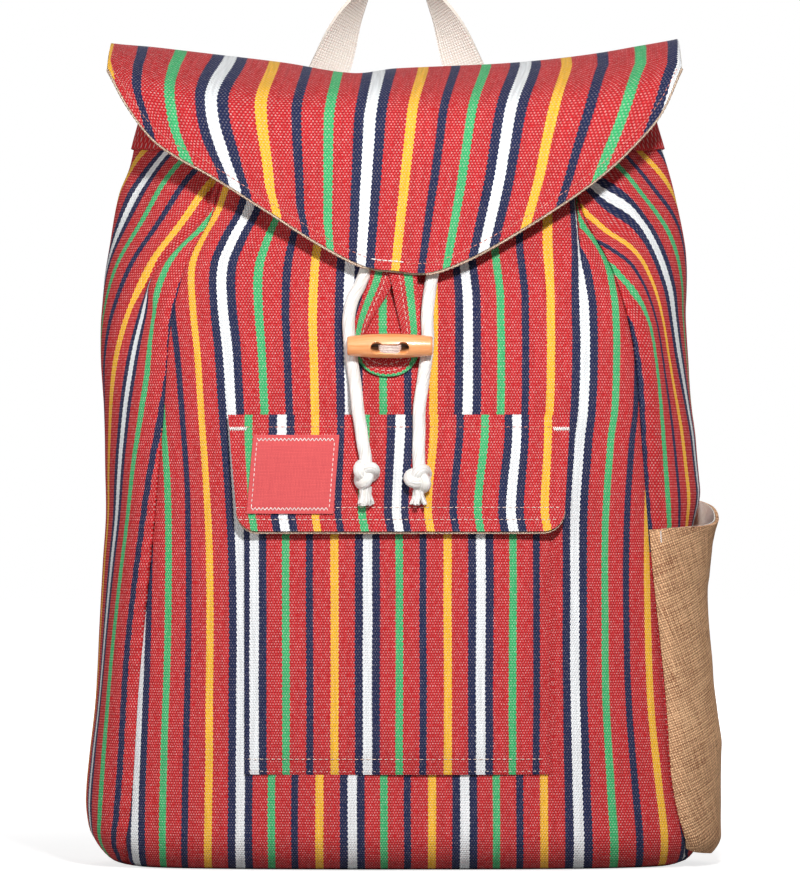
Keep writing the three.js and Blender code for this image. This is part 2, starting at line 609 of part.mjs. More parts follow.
// Toggle: a turned barrel with two holes and a slot between them, tied on by a thick thread
const TOGGLE_RADIUS = TOGGLE_DIAMETER / 2;
const toggleRadius = (share) => mix(TOGGLE_END_DIAMETER, TOGGLE_DIAMETER, 1 - share ** 2) / 2;
const TOGGLE_STAND = LAY + CORD_DIAMETER + LAY + toggleRadius(0.8);
const toggleFoot = onFront(TOGGLE_X, TOGGLE_Z, 0);
const toggleGroup = new THREE.Group();
toggleGroup.position.copy(onFront(TOGGLE_X, TOGGLE_Z, TOGGLE_STAND));
const toggleWay = toggleGroup.position.clone().sub(toggleFoot);
toggleGroup.rotation.x = Math.atan2(-toggleWay.z, -toggleWay.y);
bag.add(toggleGroup);

const toggleRing = (share) => new THREE.Vector2(toggleRadius(share), (share * TOGGLE_LENGTH) / 2);
const toggleProfile = [
  new THREE.Vector2(0, -TOGGLE_LENGTH / 2),
  ...between(-1, 1, TOGGLE_RINGS).map(toggleRing),
  new THREE.Vector2(0, TOGGLE_LENGTH / 2),
];
const barrel = toManifold(new THREE.LatheGeometry(toggleProfile, 16).rotateZ(-Math.PI / 2));
const holes = [-TOGGLE_HOLE_SPACING / 2, TOGGLE_HOLE_SPACING / 2].map((x) => {
  const bore = new THREE.CylinderGeometry(TOGGLE_HOLE / 2, TOGGLE_HOLE / 2, 2 * TOGGLE_DIAMETER, 12);
  return toManifold(bore.translate(x, 0, 0));
});
const slotFloor = TOGGLE_SLOT_DEPTH - TOGGLE_RADIUS;
const slot = new THREE.BoxGeometry(TOGGLE_HOLE_SPACING, TOGGLE_DIAMETER, TOGGLE_SLOT_WIDTH);
slot.translate(0, slotFloor - TOGGLE_RADIUS, 0);
const drilled = [...holes, toManifold(slot)].reduce((solid, cut) => solid.subtract(cut), barrel);
add("toggle", fromManifold(drilled), wood, toggleGroup);

const threadTop = slotFloor - GAP - THREAD_DIAMETER / 2;
const threadSide = TOGGLE_HOLE_SPACING / 2;
const threadLeg = [TOGGLE_STAND - LAY, TOGGLE_STAND / 2, 0, threadTop + THREAD_DIAMETER * 0.6];
const threadPath = [
  ...threadLeg.map((y) => new THREE.Vector3(-threadSide, y, 0)),
  ...[-0.8, 0, 0.8].map((share) => new THREE.Vector3(share * threadSide, threadTop, 0)),
  ...threadLeg.toReversed().map((y) => new THREE.Vector3(threadSide, y, 0)),
];
add("toggle_thread", cordSolid(threadPath, THREAD_DIAMETER, THREAD_STEPS), cotton, toggleGroup);

// Toggle loop: a flat strip sewn under the flap's tip, spreading to a round eye behind the toggle
const loopTop = FLAP_TIP_HEIGHT + LOOP_TUCK;
const loopWide = TOGGLE_Z;
const loopShoulder = mix(FLAP_TIP_HEIGHT, loopWide, LOOP_SPREAD);
const ROUND = 0.55; // handle length of a Bezier quarter circle

// Down the left side from the neck to the bottom of the bend, and up the right side
function loopOutline() {
  const shape = new THREE.Shape();
  const neck = (side) => LOOP_NECK_X + side * LOOP_NECK_HALF_WIDTH;
  const wide = (side) => LOOP_X + side * LOOP_HALF_WIDTH;
  const bend = (loopWide - LOOP_BOTTOM) * (1 - ROUND);
  shape.moveTo(neck(-1), loopTop);
  shape.lineTo(neck(-1), FLAP_TIP_HEIGHT);
  shape.bezierCurveTo(neck(-1), loopShoulder, wide(-1), loopShoulder, wide(-1), loopWide);
  shape.bezierCurveTo(wide(-1), LOOP_BOTTOM + bend, wide(-ROUND), LOOP_BOTTOM, LOOP_X, LOOP_BOTTOM);
  shape.bezierCurveTo(wide(ROUND), LOOP_BOTTOM, wide(1), LOOP_BOTTOM + bend, wide(1), loopWide);
  shape.bezierCurveTo(wide(1), loopShoulder, neck(1), loopShoulder, neck(1), FLAP_TIP_HEIGHT);
  shape.lineTo(neck(1), loopTop);
  return shape;
}

function loopEye() {
  const eye = new THREE.Path();
  const wide = (side) => LOOP_X + side * (LOOP_HALF_WIDTH - LOOP_STRAND);
  const bottom = LOOP_BOTTOM + LOOP_STRAND;
  const bend = (loopWide - bottom) * (1 - ROUND);
  const narrow = mix(loopWide, LOOP_HOLE_TOP, LOOP_EYE_SPREAD);
  eye.moveTo(LOOP_X, LOOP_HOLE_TOP);
  eye.bezierCurveTo(LOOP_X, narrow, wide(-1), narrow, wide(-1), loopWide);
  eye.bezierCurveTo(wide(-1), bottom + bend, wide(-ROUND), bottom, LOOP_X, bottom);
  eye.bezierCurveTo(wide(ROUND), bottom, wide(1), bottom + bend, wide(1), loopWide);
  eye.bezierCurveTo(wide(1), narrow, LOOP_X, narrow, LOOP_X, LOOP_HOLE_TOP);
  return eye;
}

const loopShape = loopOutline();
loopShape.holes.push(loopEye());
const flapStand = FLAP_OVERHANG + onFront(0, FLAP_TIP_HEIGHT, 0).y;
const loopLift = flapStand - LOOP_THICKNESS - 2 * LAY;
const loopGeometry = new THREE.ExtrudeGeometry(loopShape, {
  depth: LOOP_THICKNESS,
  bevelEnabled: false,
  curveSegments: 8,
});
const loopPoints = loopGeometry.attributes.position;
for (let i = 0; i < loopPoints.count; i++) {
  const [x, z, depth] = [loopPoints.getX(i), loopPoints.getY(i), loopPoints.getZ(i)];
  const foot = mix(LAY, loopLift, smooth(loopShoulder, FLAP_TIP_HEIGHT, z));
  loopPoints.setXYZ(i, ...onFront(x, z, foot + depth));
}
add("toggle_loop", loopGeometry, canvas);

// Side pocket: it takes in the gusset from seam to seam, lined, and gapes at its slanted mouth.
// Up to the top of the rounded base edge it keeps the gusset's own rows, and v counts on from there.
function onSidePocket(u, v, height) {
  const mouth = runAt(mix(SIDE_POCKET_FRONT_TOP, SIDE_POCKET_BACK_TOP, u));
  const run = v < 0 ? CORNER_RUN * (1 + v) : mix(CORNER_RUN, mouth, v);
  const swell = SIDE_POCKET_EASE * smooth(0, SIDE_POCKET_SWELL, run);
  const gape = SIDE_POCKET_GAPE * smooth(0.5, 1, v);
  const fullness = Math.sin(Math.PI * u) ** SIDE_POCKET_FULLNESS;
  return onPanel(PANELS.right, u, run, height + (swell + gape) * fullness);
}

const sidePocketColumns = columnsOf(PANELS.right);
const cornerRows = shares(ROUNDING_ROWS).slice(-2, -1).map((share) => share - 1);
const sidePocketRows = [...cornerRows, ...shares(SIDE_POCKET_ROWS)];
const burlapFoot = GAP + LINING + GAP;
const sidePocketPly = (low, high) => plySolid(onSidePocket, sidePocketColumns, sidePocketRows, low, high);
add("side_pocket_lining", sidePocketPly(GAP, GAP + LINING), cotton);
add("side_pocket", sidePocketPly(burlapFoot, burlapFoot + BURLAP), burlap);

// Carrying handle: webbing sewn flat on the flap's rear, turning on edge over the top of its arch
const handleSeat = HANDLE_SEWN.map((v) =>
  onFlap(HANDLE_SEAM_HALF_SPAN / FLAP_SEAM_HALF_WIDTH, v, FLAP_FACE + LAY + WEBBING / 2),
);
const handleY = handleSeat.at(-1).y;
const shoulderHeight = mix(FLAP_RIDGE_HEIGHT, HANDLE_TOP, HANDLE_SHOULDER_RISE);
const handleRise = [
  ...handleSeat,
  new THREE.Vector3(HANDLE_RIDGE_HALF_SPAN, handleY, FLAP_RIDGE_HEIGHT + HANDLE_LIFT),
  new THREE.Vector3(HANDLE_RIDGE_HALF_SPAN * HANDLE_SHOULDER_SPAN, handleY, shoulderHeight),
];
const handleCurve = new THREE.CatmullRomCurve3([
  ...handleRise.map(mirrored),
  new THREE.Vector3(0, handleY, HANDLE_TOP - WEBBING / 2),
  ...handleRise.toReversed(),
]);
const acrossHandle = (share) => {
  const turn = (Math.PI / 2) * smooth(...HANDLE_TURN, 1 - Math.abs(2 * share - 1));
  const flat = new THREE.Vector3(0, 1, 0).cross(handleCurve.getTangentAt(share));
  return flat.multiplyScalar(Math.cos(turn)).add(new THREE.Vector3(0, Math.sin(turn), 0));
};
add("carry_handle", bandSolid(handleCurve, acrossHandle, HANDLE_WIDTH, WEBBING, HANDLE_STEPS), natural);

// Shoulder straps: webbing from under the flap's seam to the lower corners, bowed away from the back
const strapTop = FLAP_SEAM_HEIGHT - STRAP_TUCK;
for (const [name, side] of [["left_shoulder_strap", -1], ["right_shoulder_strap", 1]]) {
  const strapAt = (share, shift) => {
    const x = side * mix(STRAP_TOP_X, STRAP_BOTTOM_X, share) + shift;
    const bow = STRAP_BOW * smooth(...STRAP_LEAVES, share) * (1 - smooth(...STRAP_RETURNS, share));
    return offBack(x, mix(strapTop, STRAP_BOTTOM_Z, share), LAY + WEBBING / 2 + bow);
  };
  const curve = new THREE.CatmullRomCurve3(shares(STRAP_POINTS).map((share) => strapAt(share, 0)));
  const across = (share) => strapAt(share, 1).sub(strapAt(share, -1));
  add(name, bandSolid(curve, across, STRAP_WIDTH, WEBBING, STRAP_STEPS), natural);
}

// Drawstring: its run fills the casing's channel, from the right eyelet round the back to the left one
const runShare = frontShare(EYELET_OFFSET + CORD_DIAMETER / 2 + GAP, channelHeight);
const [frontColumns, ...otherColumns] = Object.values(PANELS).map(columnsRound);
const runColumns = [
  { panel: PANELS.front, u: runShare },
  ...frontColumns.filter(({ u }) => u > runShare + NUDGE),
  ...otherColumns.flat(),
  ...frontColumns.filter(({ u }) => u < 1 - runShare - NUDGE),
  { panel: PANELS.front, u: 1 - runShare },
];
const cordTurns = shares(CORD_SIDES).slice(1).map((share) => 2 * Math.PI * share);
const runRings = runColumns.map(({ panel, u }) =>
  cordTurns.map((turn) => {
    const up = (CORD_DIAMETER / 2) * Math.sin(turn);
    const out = (CORD_DIAMETER / 2) * Math.cos(turn);
    return onPanel(panel, u, CHANNEL_RUN + up, MID_PLY + out);
  }),
);
add("drawstring_run", sweptSolid(runRings, false), cotton);

// Overhand knot drawn together to a ball, with one turn standing out and the frayed tail below it
function knotSolid(lean) {
  const ball = new THREE.SphereGeometry(0.5, 10, 6).scale(KNOT_WIDTH, KNOT_DEPTH, KNOT_HEIGHT);
  const turn = new THREE.TorusGeometry(KNOT_TURN_RADIUS, KNOT_TURN_DIAMETER / 2, 6, 10);
  turn.rotateX(KNOT_TURN_TILT).rotateY(lean);
  const tail = new THREE.CylinderGeometry(CORD_DIAMETER / 2, KNOT_TAIL_SPREAD / 2, KNOT_TAIL, CORD_SIDES);
  tail.rotateX(Math.PI / 2).translate(0, 0, -KNOT_TAIL / 2);
  return fromManifold(toManifold(ball).add(toManifold(turn)).add(toManifold(tail)));
}

// Its two ends come out of the eyelets, drop behind the flap, pass under the toggle and end in knots
for (const [side, route, lean] of [["left", LEFT_END, KNOT_LEAN], ["right", RIGHT_END, -KNOT_LEAN]]) {
  const eyelet = onFront(route[0][0], channelHeight, MID_PLY);
  const outside = eyelet.clone().setY(eyelet.y - EYELET_REACH);
  const hanging = route.map(([x, z, ahead]) => new THREE.Vector3(x, onFront(x, z, 0).y - ahead, z));
  add(`drawstring_${side}_end`, cordSolid([eyelet, outside, ...hanging], CORD_DIAMETER, CORD_STEPS), cotton);
  const knot = new THREE.Group();
  knot.position.copy(hanging.at(-1)).add(new THREE.Vector3(0, -KNOT_FORWARD, -KNOT_HEIGHT / 2 - LAY));
  bag.add(knot);
  add(`${side}_knot`, knotSolid(lean), cotton, knot);
}

export default bag;
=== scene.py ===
"""Looks of a flap-top drawstring rucksack: striped canvas, burlap, webbing, cotton cord and a wooden toggle.

Every shape is worked out in millimetres, in the frame of the CAD model, and goes into its mesh in metres.
"""
from functools import partial

import bpy
import numpy as np
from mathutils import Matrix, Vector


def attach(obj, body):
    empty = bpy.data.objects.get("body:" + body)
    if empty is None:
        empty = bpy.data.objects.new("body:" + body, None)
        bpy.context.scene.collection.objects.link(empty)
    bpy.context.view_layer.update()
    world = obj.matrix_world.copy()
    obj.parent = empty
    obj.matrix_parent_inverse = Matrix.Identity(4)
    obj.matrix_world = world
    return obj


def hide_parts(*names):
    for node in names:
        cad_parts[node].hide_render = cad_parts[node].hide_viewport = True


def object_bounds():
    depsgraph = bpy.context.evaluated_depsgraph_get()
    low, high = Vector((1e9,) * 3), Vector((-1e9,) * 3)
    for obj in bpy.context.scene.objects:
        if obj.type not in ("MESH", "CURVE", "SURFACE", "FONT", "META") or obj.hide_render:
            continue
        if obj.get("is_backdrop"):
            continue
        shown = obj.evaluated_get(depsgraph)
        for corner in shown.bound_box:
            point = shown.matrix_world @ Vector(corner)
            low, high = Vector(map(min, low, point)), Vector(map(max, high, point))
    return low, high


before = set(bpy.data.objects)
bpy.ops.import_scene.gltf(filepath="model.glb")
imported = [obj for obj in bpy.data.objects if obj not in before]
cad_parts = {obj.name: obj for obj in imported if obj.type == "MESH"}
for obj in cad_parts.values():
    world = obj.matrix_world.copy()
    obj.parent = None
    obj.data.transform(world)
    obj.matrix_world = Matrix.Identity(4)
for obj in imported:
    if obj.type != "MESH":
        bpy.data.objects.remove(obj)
cad_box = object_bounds()

MM = 0.001
TAU = 2 * np.pi
NUDGE = 1e-3  # step of a parameter that gives a surface's normal

# Cloth, cord and the clearances between them
CANVAS = 1.6
LINING = 1.0
WEBBING = 2.2
CORD_DIAMETER = 6.6
SEAM_GAP = 0.3
LAY = 0.5

# The stuffed body: full sizes, and their shares at stations up its height
HALF_WIDTH = 158
FRONT_DEPTH = 72
BACK_DEPTH = 60
BODY_HEIGHT = 384
BASE_ROUNDING = 20
FRONT_SQUARENESS = 2.8
BACK_SQUARENESS = 3.6
STATIONS = [0, 0.09, 0.28, 0.56, 0.78, 0.9, 1]
WIDTH_SHARE = [1, 0.998, 0.972, 0.952, 0.945, 0.9, 0.835]
FRONT_SHARE = [0.94, 0.98, 1, 0.99, 0.86, 0.68, 0.5]
BACK_SHARE = [1, 1, 1, 0.98, 0.92, 0.8, 0.64]
SEAM_STATIONS = [0, 0.02, 0.09, 0.28, 0.56, 0.7, 0.8, 0.86, 0.92, 1]
FRONT_SEAM_SHARE = [0.97, 0.9, 0.86, 0.86, 0.83, 0.8, 0.735, 0.67, 0.64, 0.58]
BACK_SEAM_SHARE = [0.9, 0.89, 0.88, 0.87, 0.86, 0.85, 0.84]
# How far the sides stand out beyond their even outline, by height: the cloth bulges above the side pocket
SIDE_BULGE = {
    "right": [[0, 150, 160, 172, 180, 186, 192, 198, 210, 222, 235, 247, 259, 271, 284, 296, 308, 320, 400],
              [0, 0, 0.3, 1.5, 3.5, 5.2, 6, 5.6, 4.6, 3.6, 1.6, 0.2, -0.8, -1.8, -2.4, -1.6, -0.6, 0, 0]],
    "left": [[0, 8, 20, 33, 57, 80, 120, 155, 180, 204,
              235, 247, 259, 278, 290, 302, 320, 345, 358, 372, 400],
             [-3, -2, 0.5, 2, 1.5, 0.5, 0, -1, -2, -1,
              0.5, 1.5, 2.5, 3, 2.5, 2, 1, 0.8, -1.2, -0.6, -0.3]],
}
BULGE_START = 0.86  # share of the half width where it begins
# How far the front seams lie to the right of their even places, by height
LEFT_SEAM_SHIFT = [[0, 60, 120, 164, 204, 245, 265, 285, 320, 400], [0, 0, 1.2, 2.5, 3.5, 4.6, 4, 3, 1, 0]]
RIGHT_SEAM_SHIFT = [[0, 6, 44, 76, 114, 168, 400], [9.4, 9.4, 5.4, 4.5, 2.6, 0.6, 0]]
SEAM_LIMIT = 0.985  # share of the half width that they keep within
GATHER_DEPTH = 4
GATHER_START = 290
GATHERS = {"front": 6, "right": 3, "back": 4, "left": 3}

# Stripes of the cloth: one repeat, and the places and widths of its stripes from the white one's middle
REPEAT = 57.0
WHITE_WIDTH = 4.5
NAVY_BORDER = 4.0
GREEN_AT, GREEN_WIDTH = 16.0, 3.7
NAVY_AT, NAVY_WIDTH = 28.0, 3.6
YELLOW_AT, YELLOW_WIDTH = 40.5, 4.0

# Waves of the stuffed and sewn cloth: height, millimetres that a step of q counts as, wavelength and seed
WAVES = {
    "front": (0.9, 0.45, 85, 3), "back": (0.9, 0.45, 85, 4),
    "right": (1.5, 0.4, 70, 5), "left": (1.5, 0.4, 70, 6), "flap": (0.9, 60, 95, 11),
    "pocket": (0.5, 0.5, 60, 12), "pocket_flap": (0.5, 1, 50, 13), "side_pocket": (0.5, 0.6, 55, 14),
}


def mix(a, b, share):
    return a + (b - a) * share


def smooth(low, high, x):
    """0 below low, 1 above high, and a cubic without corners between them."""
    share = np.clip((x - low) / (high - low), 0, 1)
    return share * share * (3 - 2 * share)


def through(at, values, x):
    """Cubic curve through a few (at, value) points whose slope at each comes from its two neighbours."""
    at, values = np.asarray(at, float), np.asarray(values, float)
    order = np.arange(len(at))
    before, after = np.maximum(order - 1, 0), np.minimum(order + 1, len(at) - 1)
    slope = (values[after] - values[before]) / (at[after] - at[before])
    end = np.clip(np.searchsorted(at, x), 1, len(at) - 1)
    span = at[end] - at[end - 1]
    s = np.clip((x - at[end - 1]) / span, 0, 1)
    level = mix(values[end - 1], values[end], (3 - 2 * s) * s * s)
    bend = s * (1 - s) ** 2 * slope[end - 1] + s * s * (s - 1) * slope[end]
    return level + span * bend + slope[-1] * np.maximum(0, x - at[-1])


def stacked(*parts):
    return np.stack(np.broadcast_arrays(*parts), axis=-1)


def unit(vectors):
    return vectors / np.maximum(np.linalg.norm(vectors, axis=-1, keepdims=True), 1e-9)


def raised(place, u, v, lift):
    """Point that stands lift off the surface place(u, v), along the normal from small steps of u and v."""
    u, v, lift = np.broadcast_arrays(*(np.asarray(value, float) for value in (u, v, lift)))
    across = place(u + NUDGE, v) - place(u - NUDGE, v)
    along = place(u, v + NUDGE) - place(u, v - NUDGE)
    return place(u, v) + lift[..., None] * unit(np.cross(across, along))


def arc_along(points):
    """Length along the rows of a grid of points, or along a line of them, from its first point."""
    steps = np.linalg.norm(np.diff(points, axis=-2), axis=-1)
    start = np.zeros(steps.shape[:-1] + (1,))
    return np.concatenate([start, np.cumsum(steps, axis=-1)], axis=-1)


def waves(name, p, q):
    """Smooth uneven waves of one piece's cloth: six sines over (p, q) in seeded directions and lengths."""
    height, drawn_out, length, seed = WAVES[name]
    draw = np.random.default_rng(seed)
    turn, phase = draw.uniform(0, TAU, (2, 6))
    number = TAU / (length * draw.uniform(0.7, 1.5, 6))
    along = drawn_out * q
    sines = [np.sin(n * (p * np.cos(t) + along * np.sin(t)) + f) for n, t, f in zip(number, turn, phase)]
    return height * (sum(sines) / 3)


def at_arc(line, arc, where):
    return stacked(*(np.interp(where, arc, line[:, i]) for i in range(3)))


def even_line(line, count):
    """The same line as count points at even steps of its length."""
    arc = arc_along(line)
    return at_arc(line, arc, np.linspace(0, arc[-1], count))


def smooth_line(points, count):
    """Centripetal Catmull-Rom curve through points, as count points at even steps of its length."""
    points = np.asarray(points, float)
    ends = 2 * points[[0, -1]] - points[[1, -2]]
    p = np.concatenate([ends[:1], points, ends[1:]])
    knots = np.concatenate([[0], np.cumsum(np.linalg.norm(np.diff(p, axis=0), axis=1) ** 0.5)])
    k, row = ([some[i:len(p) - 3 + i, None] for i in range(4)] for some in (knots[:, None], p))
    t = mix(k[1], k[2], np.linspace(0, 1, 40, endpoint=False)[:, None])
    for span in (1, 2):
        row = [mix(a, b, (t - low) / (high - low)) for a, b, low, high in zip(row, row[1:], k, k[span:])]
    line = mix(*row, (t - k[1]) / (k[2] - k[1])).reshape(-1, 3)
    return even_line(np.concatenate([line, points[-1:]]), count)


# Meshes

def add_object(name, data):
    """Object of that data, at the origin of the scene."""
    thing = bpy.data.objects.new(name, data)
    bpy.context.scene.collection.objects.link(thing)
    return thing


def add_piece(name, skin, material, nodes=(), cloth=None, sharp=50):
    """Mesh object of a skin, which is points in millimetres and faces; cloth holds each point's place in the
    flat cloth, in millimetres, and edges are sharp beyond an angle in degrees."""
    points, faces = skin
    mesh = bpy.data.meshes.new(name)
    mesh.from_pydata((np.asarray(points).reshape(-1, 3) * MM).tolist(), [], [list(face) for face in faces])
    if cloth is not None:
        flat = np.zeros((len(mesh.vertices), 3), np.float32)
        flat[:, :2] = np.asarray(cloth).reshape(-1, 2)
        mesh.attributes.new("cloth", "FLOAT_VECTOR", "POINT").data.foreach_set("vector", flat.ravel())
    mesh.materials.append(material)
    mesh.shade_smooth()
    mesh.set_sharp_from_angle(angle=np.radians(sharp))
    piece = add_object(name, mesh)
    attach(piece, "root")
    if nodes:
        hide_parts(*nodes)
    return piece


def grid_faces(rows, columns, wrap=False):
    """Quads of a grid of points in row order; wrap joins the last column to the first."""
    index = np.arange(rows * columns).reshape(rows, columns)
    index = np.concatenate([index, index[:, :1]], axis=1) if wrap else index
    corners = (index[:-1, :-1], index[:-1, 1:], index[1:, 1:], index[1:, :-1])
    return stacked(*corners).reshape(-1, 4)


def add_ply(name, outer, inner, material, node, cloth):
    """Closed ply between two grids of points: both faces and a rim, turned so that outer faces out."""
    rows, columns = outer.shape[:2]
    count = rows * columns
    top = grid_faces(rows, columns)
    index = np.arange(count).reshape(rows, columns)
    ring = np.concatenate([index[0, :-1], index[:-1, -1], index[-1, :0:-1], index[:0:-1, 0]])
    following = np.roll(ring, -1)
    rim = np.stack([following, ring, ring + count, following + count], axis=1)
    faces = np.concatenate([top, top[:, ::-1] + count, rim])
    across = np.cross(np.diff(outer, axis=1)[:-1], np.diff(outer, axis=0)[:, :-1])
    if np.sum(across * (outer - inner)[:-1, :-1]) <= 0:
        faces = faces[:, ::-1]
    return add_piece(name, (np.concatenate([outer, inner]), faces), material, [node],
                     np.concatenate([cloth, cloth]))


def sweep(rings, closed=False):
    """Skin over rings of points, with a flat cap at each end unless the run is closed."""
    count, sides = rings.shape[:2]
    faces = grid_faces(count, sides, wrap=True)
    first = np.arange(sides)
    last = first + (count - 1) * sides
    if closed:
        ends = np.stack([last, np.roll(last, -1), np.roll(first, -1), first], axis=1)
    else:
        ends = [first[::-1], last]
    return rings.reshape(-1, 3), [*faces, *ends]


def tube(line, radius, sides, aim, swell=None):
    """Rings round a line: radius may vary along it, aim is a direction that never runs along the line,
    and swell(turn, arc) scales the radius round and along it. Gives rings and each point's (turn, arc)."""
    ahead = unit(np.gradient(line, axis=0))
    side = unit(aim - ahead * np.sum(aim * ahead, axis=-1, keepdims=True))
    other = np.cross(ahead, side)
    turn = np.linspace(0, TAU, sides, endpoint=False)[None, :]
    arc = arc_along(line)[:, None]
    reach = np.broadcast_to(np.asarray(radius, float), (len(line),))[:, None] * np.ones_like(turn)
    reach = reach if swell is None else reach * swell(turn, arc)
    round_line = side[:, None] * np.cos(turn)[..., None] + other[:, None] * np.sin(turn)[..., None]
    rings = line[:, None] + reach[..., None] * round_line
    return rings, stacked(turn * np.mean(reach), arc)


def joined(skins):
    """Several skins as one."""
    starts = np.cumsum([0] + [len(points) for points, _ in skins[:-1]])
    faces = [np.asarray(face) + start for (_, some), start in zip(skins, starts) for face in some]
    return np.concatenate([points for points, _ in skins]), faces


# Stitches: spindles of thread lying on the cloth

STITCH_RINGS = np.array([0, 0.12, 0.5, 0.88, 1])
STITCH_SWELL = np.array([0.35, 0.85, 1, 0.85, 0.35])
STITCH_SIDES = 6
STITCH_ARCH, STITCH_FLATNESS = 0.25, 0.8  # height of its back and of its section, as shares of its width
ON_CLOTH = 0.1  # height of a row of stitches off the cloth


def stitch_skin(starts, ends, up, width):
    """One flat spindle of thread from each start to its end, with its back arched up off the cloth."""
    along = ends - starts
    side = unit(np.cross(along, up))
    turn = np.linspace(0, TAU, STITCH_SIDES, endpoint=False)
    ring = STITCH_RINGS[None, :, None, None]
    swell = STITCH_SWELL[None, :, None, None] * width / 2
    arch = np.sin(np.pi * STITCH_RINGS)[None, :, None, None] * width * STITCH_ARCH
    across = side[:, None, None] * np.cos(turn)[None, None, :, None]
    lift = up[:, None, None] * np.sin(turn)[None, None, :, None] * STITCH_FLATNESS
    middle = starts[:, None, None] + along[:, None, None] * ring + up[:, None, None] * arch
    points = middle + swell * (across + lift)
    count = len(STITCH_RINGS) * STITCH_SIDES
    first = (np.arange(len(starts)) * count)[:, None, None]
    sides = grid_faces(len(STITCH_RINGS), STITCH_SIDES, wrap=True)
    tip = np.arange(STITCH_SIDES)
    caps = np.stack([tip[::-1], tip + count - STITCH_SIDES])
    return points.reshape(-1, 3), [*(sides + first).reshape(-1, 4), *(caps + first).reshape(-1, STITCH_SIDES)]


def row_on(place, p, q, lift):
    """Line that lies lift off the surface place(p, q, lift), and the surface's normal along it."""
    p, q = np.broadcast_arrays(np.asarray(p, float), np.asarray(q, float))
    line = place(p, q, lift)
    return line, unit(place(p, q, lift + 1) - line)


def running_stitches(row, length=1.9, pitch=3.0, width=0.42):
    """Stitches of one length at even steps along a row on the cloth."""
    line, up = row
    arc = arc_along(line)
    begin = np.arange((pitch - length) / 2, arc[-1] - length, pitch)
    lift = unit(at_arc(up, arc, begin + length / 2))
    return stitch_skin(at_arc(line, arc, begin), at_arc(line, arc, begin + length), lift, width)


def zigzag_stitches(row, breadth, pitch, width):
    """Thread going from side to side of a row on the cloth while it steps along it."""
    line, up = row
    arc = arc_along(line)
    where = np.arange(0, arc[-1], pitch / 2)
    middle, lift = at_arc(line, arc, where), unit(at_arc(up, arc, where))
    ahead = unit(np.gradient(middle, axis=0))
    side = np.cross(ahead, lift) * (breadth / 2) * np.where(np.arange(len(where)) % 2, 1, -1)[:, None]
    return stitch_skin((middle + side)[:-1], (middle + side)[1:], lift[:-1], width)


# Materials

PICK = 1.32  # height of one weft thread of the canvas
YARN = 0.675  # width of one warp thread
STRIPE_STEP = 0.17  # by which the edge of a stripe steps aside from pick to pick
STRIPE_DRIFT = 1.2  # by which the stripes wander
WHOLE_REPEATS = 20  # added so that no cloth lies before the first repeat
FLECK_WEAVE = (0.45, 1.8)  # heights of the weave between which a fleck of weft comes out
FLECK_LEAST, FLECK_MOST = 0.02, 0.5  # share of pale weft at a fleck
FLECK_ON_DARK = 0.4  # of that share on navy
NAVY_TINT, WHITE_TINT = (0.02, 0.14), (0.15, 0.6)  # greys between navy and red, and between red and white
GROOVE_SHADE, PALE_GROOVE_SHADE = 0.55, 0.8  # painted shade in the groove between two picks, in red and in white
GROOVE_EDGE = 0.7  # height of the weave above which no painted groove shade shows
NOISE_SPAN = (0.3, 0.7)  # that most of a noise lies within
# Grains of the noises in millimetres across and along the cloth, some with their detail, and what they shade
DRIFT_GRAIN, FLECK_GRAIN = (30, 60), (2.6, 1.8, 3.0)
YARN_GRAIN, YARN_SHADE = (0.9, 26), (0.86, 1.1)
STRAND_GRAIN, STRAND_SPAN = (0.8, 14, 3.0), (0.3, 0.62)
WOOD_GRAIN = (22, 1.3, 1.3)
HOLE_PAINTED_SHADE = (0.8, 3.2, 0.0, 0.96)  # depths between which painted shade darkens a hole or the slot, and how dark it is at each
SPUN_GRAIN, SPUN_SHADE = 1.5, (0.82, 1.05)
CANVAS_DEPTH, STRAND_DEPTH, WOOD_DEPTH, THREAD_DEPTH = 0.12, 0.35, 0.05, 0.1  # of the bumps
THREAD_RUN = 18  # pitches over which one thread of a plain weave keeps its tone
PAINTED_GAP_SHADE = 0.35  # painted light and shade: how much paler the top of a thread is painted than the gaps beside it
COLOUR_A, COLOUR_B, COLOUR_OUT = 6, 7, 2  # sockets of a Mix node for colours


def linear(code):
    """Linear colour of an sRGB hex value."""
    srgb = np.array([int(code[i:i + 2], 16) / 255 for i in (1, 3, 5)])
    low = srgb <= 0.04045
    return (*np.where(low, srgb / 12.92, ((srgb + 0.055) / 1.055) ** 2.4), 1.0)


def add_node(tree, kind, inputs=(), out=0, **settings):
    """An output of a new node; each input, by place or name, is set to a value or linked from an output."""
    node = tree.nodes.new("ShaderNode" + kind)
    for key, value in settings.items():
        setattr(node, key, value)
    for key, value in inputs.items() if isinstance(inputs, dict) else enumerate(inputs):
        if isinstance(value, bpy.types.NodeSocket):
            tree.links.new(value, node.inputs[key])
        else:
            node.inputs[key].default_value = value
    return node.outputs[out] if node.outputs else None


def start_nodes(owner):
    """What adds nodes to the emptied tree of a material or a world."""
    owner.use_nodes = True
    owner.node_tree.nodes.clear()
    return partial(add_node, owner.node_tree)


def start_material(name):
    material = bpy.data.materials.new(name)
    return material, start_nodes(material)


def end_material(add, colour, height, depth, surface):
    """Principled surface with that colour, bumped by height at a depth in millimetres."""
    bump = add("Bump", {"Height": height, "Strength": 1.0, "Distance": depth * MM})
    shader = add("BsdfPrincipled", {"Base Color": colour, "Normal": bump, **surface})
    add("OutputMaterial", {"Surface": shader})


def cloth_place(add):
    """Sockets of the place in the flat cloth, and of its parts across and along the warp, in millimetres."""
    place = add("Attribute", out="Vector", attribute_name="cloth")
    parts = add("SeparateXYZ", [place]).node
    return place, parts.outputs[0], parts.outputs[1]


